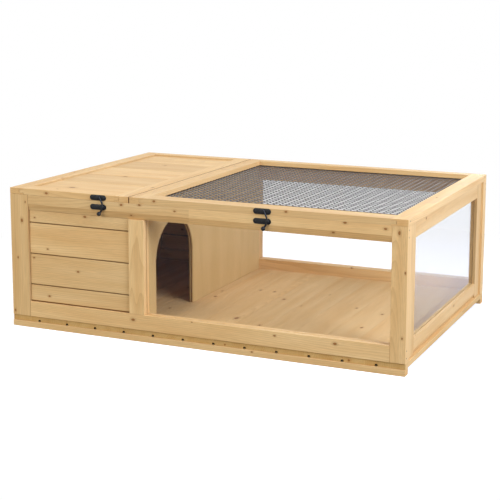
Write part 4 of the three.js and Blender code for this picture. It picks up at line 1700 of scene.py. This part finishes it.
@dataclass
class Hinge:
    """A pressed butt hinge: leaf, rolled knuckles, pin ends and countersunk screws.

    The cap line is radius and height of the pin's end. A screw row's share is its way up the leaf.
    """

    finishes: Finishes
    lid: str
    number: int
    thick: float = 1.5
    lip: float = 0.3
    barrel: float = 3.0
    corner: float = 2.5
    play: float = 0.3
    ease: float = 0.25
    # The knuckles' tabs lie a little inside the leaf, so that no two faces lie in one plane
    sink: float = 0.06
    tab_lap: float = 1.5
    tab_corner: float = 0.1
    tab_lip: float = 0.05
    cap_line: Pairs = ((0.0, 0.0), (1.5, 0.0), (1.3, 0.35), (0.7, 0.55), (0.0, 0.6))
    fixed_screw: Pair = (2.6, 0.36)
    moving_screw: Pair = (2.2, 0.5)
    screw_spread: float = 0.3
    screw_rise: float = 0.1
    screw_lift: float = 0.02
    # Points in a ring of each shape
    leaf_sides: int = 64
    barrel_sides: int = 36
    tab_sides: int = 16
    cap_sides: int = 20

    def knuckles(self, fixed: bool, middle: float, width: float, axis: Vector, back: float) -> list[Surface]:
        """Rolled knuckles, each with the tab that joins it to the leaf.

        Args:
            fixed: True for the leaf on the wall, which has the outer knuckles.
            middle: The leaf's middle.
            width: The leaf's width.
            axis: A point on the hinge line.
            back: Where the leaf's back is.

        Returns:
            Their surfaces.
        """
        radius, play, ease = self.barrel * MM, self.play * MM, self.ease * MM
        # The middle knuckle takes a third of the width
        half = width / 6.0
        spans = ((-half, half),)
        if fixed:
            spans = ((-width / 2.0, -half - play), (half + play, width / 2.0))
        reach = radius + (self.corner + self.tab_lap) * MM
        up = -reach / 2.0 if fixed else reach / 2.0
        thick = (self.thick - 2.0 * self.sink) * MM
        made = []
        for a, b in spans:
            roll = [(0.0, a), (radius - ease, a), (radius, a + ease)]
            roll += [(radius, b - ease), (radius - ease, b), (0.0, b)]
            made.append(lathe(roll, self.barrel_sides).placed((middle, axis.y, axis.z), FACE_RIGHT))
            size = ((b - a) / 2.0, reach / 2.0)
            tab = pressed_plate(size, self.tab_corner * MM, thick, self.tab_lip * MM, 0.0, self.tab_sides)
            place = (middle + (a + b) / 2.0, back + self.sink * MM, axis.z + up)
            made.append(tab.placed(place, FACE_BACK))
        return made

    def leaf(self, fixed: bool, axis: Vector) -> None:
        """Make one leaf with its knuckles and screws.

        Args:
            fixed: True for the leaf on the wall, which also holds the pin.
            axis: A point on the hinge line.
        """
        node = f"{self.lid}_hinge_{'fixed' if fixed else 'moving'}_{self.number}"
        low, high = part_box(node)
        middle, width = (low.x + high.x) / 2.0, high.x - low.x
        clear = (self.barrel + self.play) * MM
        start, stop = (low.z, axis.z - clear) if fixed else (axis.z + clear, high.z)
        half = (width / 2.0, (stop - start) / 2.0)
        corner, thick, lip = self.corner * MM, self.thick * MM, self.lip * MM
        plate = pressed_plate(half, corner, thick, lip, 0.0, self.leaf_sides)
        parts = [plate.placed((middle, low.y, (start + stop) / 2.0), FACE_BACK)]
        parts += self.knuckles(fixed, middle, width, axis, low.y)
        if fixed:
            cap = lathe([(radius * MM, height * MM) for radius, height in self.cap_line], self.cap_sides)
            for end in (-1.0, 1.0):
                place = (middle + end * (width / 2.0 - self.play * MM), axis.y, axis.z)
                parts.append(cap.placed(place, FACE_RIGHT * np.array([[end], [1.0], [1.0]])))
        size, share = self.fixed_screw if fixed else self.moving_screw
        screw = screw_head(size * MM, self.screw_rise * MM)
        for along in (-width * self.screw_spread, width * self.screw_spread):
            out = (self.thick + self.screw_lift) * MM
            place = (middle + along, low.y + out, start + (stop - start) * share)
            parts.append(screw.placed(place, FACE_BACK))
        piece = make_object(f"{node}_leaf", gather(parts), self.finishes.zinc, smooth=35.0)
        settle(piece, "house" if fixed else self.lid, "zinc_plated_steel", node)

    def build(self) -> None:
        """Make both leaves."""
        axis = joint_place(f"{self.lid}_hinge")
        self.leaf(True, axis)
        self.leaf(False, axis)


@dataclass
class Nails:
    """Brad heads, punched nearly flush into the frames' ends.

    Places are millimetres from the front and from the ground.
    """

    finishes: Finishes
    radius: float = 1.5
    proud: float = 0.02
    root: float = 0.3
    # A head's rim stands at this share of its height, and its flat top has this share of its radius
    rim: float = 0.3
    flat: float = 0.85
    sides: int = 18
    front_places: Pairs = ((7.5, 300.0), (7.5, 36.5), (7.5, 52.0), (7.5, 285.0))
    back_places: Pairs = ((642.5, 300.0), (642.5, 285.0), (642.5, 50.0), (642.5, 36.0))
    lid_places: Pairs = ((14.0, 317.0), (636.0, 317.0))

    def heads(self, places: Pairs, face_x: float, side: float, front: float) -> list[Surface]:
        """Nail heads on an end of the house.

        Args:
            places: The heads' places.
            face_x: Where the face is.
            side: 1 for the right end and -1 for the left one.
            front: Where the front face is.

        Returns:
            One surface for each head.
        """
        turn = np.array([[0.0, 0.0, side], [0.0, 1.0, 0.0], [1.0, 0.0, 0.0]])
        radius, proud, root = self.radius * MM, self.proud * MM, self.root * MM
        profile = [(0.0, -root), (radius, -root), (radius, self.rim * proud)]
        profile += [(self.flat * radius, proud), (0.0, proud)]
        head = lathe(profile, self.sides)
        return [head.placed((face_x, front + y * MM, z * MM), turn) for y, z in places]

    def build(self) -> None:
        """Make the heads on both ends of the house and of the lids."""
        low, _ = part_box("front_stile_left")
        _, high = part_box("front_stile_right")
        places = self.front_places + self.back_places
        fixed = self.heads(places, high.x, 1.0, low.y) + self.heads(places, low.x, -1.0, low.y)
        settle(make_object("frame_nails", gather(fixed), self.finishes.nail), "house", "black_painted_steel")
        for lid, face_x, side in (("left_lid", low.x, -1.0), ("right_lid", high.x, 1.0)):
            made = gather(self.heads(self.lid_places, face_x, side, low.y))
            settle(make_object(f"{lid}_nails", made, self.finishes.nail), lid, "black_painted_steel")


# Studio


@dataclass(frozen=True)
class Lamp:
    """A square soft lamp that looks at a point. Places and size are metres."""

    name: str
    place: tuple[float, float, float]
    aim_height: float
    size: float
    watts: float
    colour: tuple[float, float, float] = (1.0, 1.0, 1.0)

    def build(self) -> None:
        """Put the lamp into the scene, turned to a point over the house's middle."""
        data = bpy.data.lights.new(self.name, "AREA")
        data.color = self.colour
        data.shape = "SQUARE"
        data.size = self.size
        data.energy = self.watts
        lamp = put(self.name, data)
        lamp.location = self.place
        way = Vector((0.0, 0.0, self.aim_height)) - Vector(self.place)
        lamp.rotation_euler = way.to_track_quat("-Z", "Y").to_euler()


@dataclass
class Studio:
    """White ground, soft lamps and the camera at the photograph's place.

    The camera's angles are degrees, its place is in metres, and its focal length and principal point are
    pixels of a picture 500 pixels wide. Pairs are shades at the near and the far end of a range, or the
    ends of the range itself, in metres or as the height of a direction.
    """

    yaw: float = -23.08
    pitch: float = 9.02
    roll: float = -0.31
    place: tuple[float, float, float] = (1.1626, -2.6270, 0.7810)
    focal_px: float = 1232.7
    centre_px: Pair = (274.3, 179.4)
    picture_px: float = 500.0
    sensor_mm: float = 36.0
    ground_size: float = 14.0
    paper: float = 0.86
    glow: float = 0.45
    fade: Pair = (0.62, 1.2)
    bounce: float = 0.2
    fill: float = 0.4
    mirrored: Pair = (0.14, 0.9)
    mirrored_range: Pair = (-0.3, 0.6)
    sheen: Pair = (0.06, 1.05)
    sheen_range: Pair = (-0.2, 0.3)
    through: float = 1.18
    lamps: tuple[Lamp, ...] = (
        Lamp("key_softbox", (3.2, -1.2, 2.2), 0.15, 2.2, 150.0, (0.95, 1.03, 1.32)),
        Lamp("top_softbox", (-0.4, 0.4, 3.0), 0.2, 2.6, 16.0, (0.96, 1.0, 1.3)),
        Lamp("back_softbox", (0.1, 3.3, 0.62), 0.12, 1.0, 30.0),
        Lamp("left_softbox", (-3.3, 0.5, 0.6), 0.12, 1.0, 26.0),
        Lamp("front_softbox", (-1.6, -3.1, 1.4), 0.15, 2.2, 47.0, (1.0, 0.99, 0.96)),
    )

    def camera(self) -> None:
        """Place the camera by its yaw, pitch and roll."""
        yaw, pitch, roll = (math.radians(angle) for angle in (self.yaw, self.pitch, self.roll))
        out = math.cos(pitch)
        ahead = Vector((math.sin(yaw) * out, math.cos(yaw) * out, -math.sin(pitch)))
        level = Vector((math.cos(yaw), -math.sin(yaw), 0.0))
        under = ahead.cross(level)
        right = level * math.cos(roll) + under * math.sin(roll)
        down = under * math.cos(roll) - level * math.sin(roll)
        data = bpy.data.cameras.new("camera")
        data.sensor_width = self.sensor_mm
        data.lens = self.sensor_mm * self.focal_px / self.picture_px
        half = self.picture_px / 2.0
        data.shift_x = (half - self.centre_px[0]) / self.picture_px
        data.shift_y = (self.centre_px[1] - half) / self.picture_px
        camera = put("camera", data)
        turn = Matrix((right, -down, -ahead)).transposed()
        camera.matrix_world = Matrix.Translation(Vector(self.place)) @ turn.to_4x4()
        bpy.context.scene.camera = camera

    def ground(self) -> None:
        """A white floor that keeps the house's shadow near it and turns plain white further off.

        The camera sees lit paper plus a faint glow, which gives way to pure white between the two fade
        distances. Light that bounces off it, and reflections of it, see a greyer paper.
        """
        material, tree = new_material("white_paper_floor")
        seen, through, mirrored = sight(tree)
        place = add(tree, "TexCoord").outputs["Object"]
        depth = add(tree, "SeparateXYZ", place).outputs["Y"]
        glossy = add(tree, "MapRange", depth, *self.mirrored_range, *self.mirrored)
        other = add(tree, "MapRange", mirrored, To_Min=self.bounce, To_Max=glossy)
        tone = add(tree, "MapRange", seen, To_Min=other, To_Max=self.paper)
        paper = add(tree, "BsdfDiffuse", tone)
        lit = add(tree, "AddShader", paper, add(tree, "Emission", Strength=self.glow))
        shown = add(tree, "MixShader", seen, paper, lit)
        far = add(tree, "VectorMath", place, operation="LENGTH")
        fade = add(tree, "MapRange", far, *self.fade, interpolation_type="SMOOTHSTEP")
        share = add(tree, "Math", fade, seen, operation="MULTIPLY")
        clear = add(tree, "MapRange", through, To_Min=1.0, To_Max=self.through)
        white = add(tree, "Emission", Strength=clear)
        add(tree, "OutputMaterial", add(tree, "MixShader", share, shown, white))
        half = self.ground_size / 2.0
        mesh = bpy.data.meshes.new("floor")
        corners = [(-half, -half, 0.0), (half, -half, 0.0), (half, half, 0.0), (-half, half, 0.0)]
        mesh.from_pydata(corners, [], [(0, 1, 2, 3)])
        mesh.materials.append(material)
        floor = put("floor", mesh)

    def sky(self) -> None:
        """A plain world: white where it is looked at and a soft fill for diffuse light.

        Reflections see it bright behind the house, which gives the tops their sheen, and dim in front, which
        keeps the windows clear. Seen through a window it is a little brighter, to make up for the loss.
        """
        world = bpy.data.worlds.new("studio")
        world.use_nodes = True
        tree = world.node_tree
        tree.nodes.clear()
        seen, through, mirrored = sight(tree)
        way = add(tree, "TexCoord").outputs["Generated"]
        back = add(tree, "SeparateXYZ", way).outputs["Y"]
        sheen = add(tree, "MapRange", back, *self.sheen_range, *self.sheen)
        plain = add(tree, "MapRange", mirrored, To_Min=self.fill, To_Max=sheen)
        clear = add(tree, "MapRange", through, To_Min=1.0, To_Max=self.through)
        strength = add(tree, "MapRange", seen, To_Min=plain, To_Max=clear)
        add(tree, "OutputWorld", add(tree, "Background", (1.0, 1.0, 1.0, 1.0), strength))
        bpy.context.scene.world = world

    def build(self) -> None:
        """Set up the whole studio."""
        bpy.context.scene.view_settings.view_transform = "Standard"
        self.camera()
        self.ground()
        self.sky()
        for lamp in self.lamps:
            lamp.build()


def main() -> None:
    """Build the studio and every piece of the house."""
    logging.basicConfig(level=logging.INFO, format="%(message)s")
    Studio().build()
    finishes = Finishes()
    joiner = Joiner(finishes)
    Carcass(joiner).build()
    Lids(joiner).build()
    Windows(joiner).build()
    WireNet(finishes).build()
    for side in ("left", "right"):
        Latch(finishes, side).build()
        for number in (1, 2):
            Hinge(finishes, f"{side}_lid", number).build()
    Nails(finishes).build()


if __name__ == "__main__":
    main()
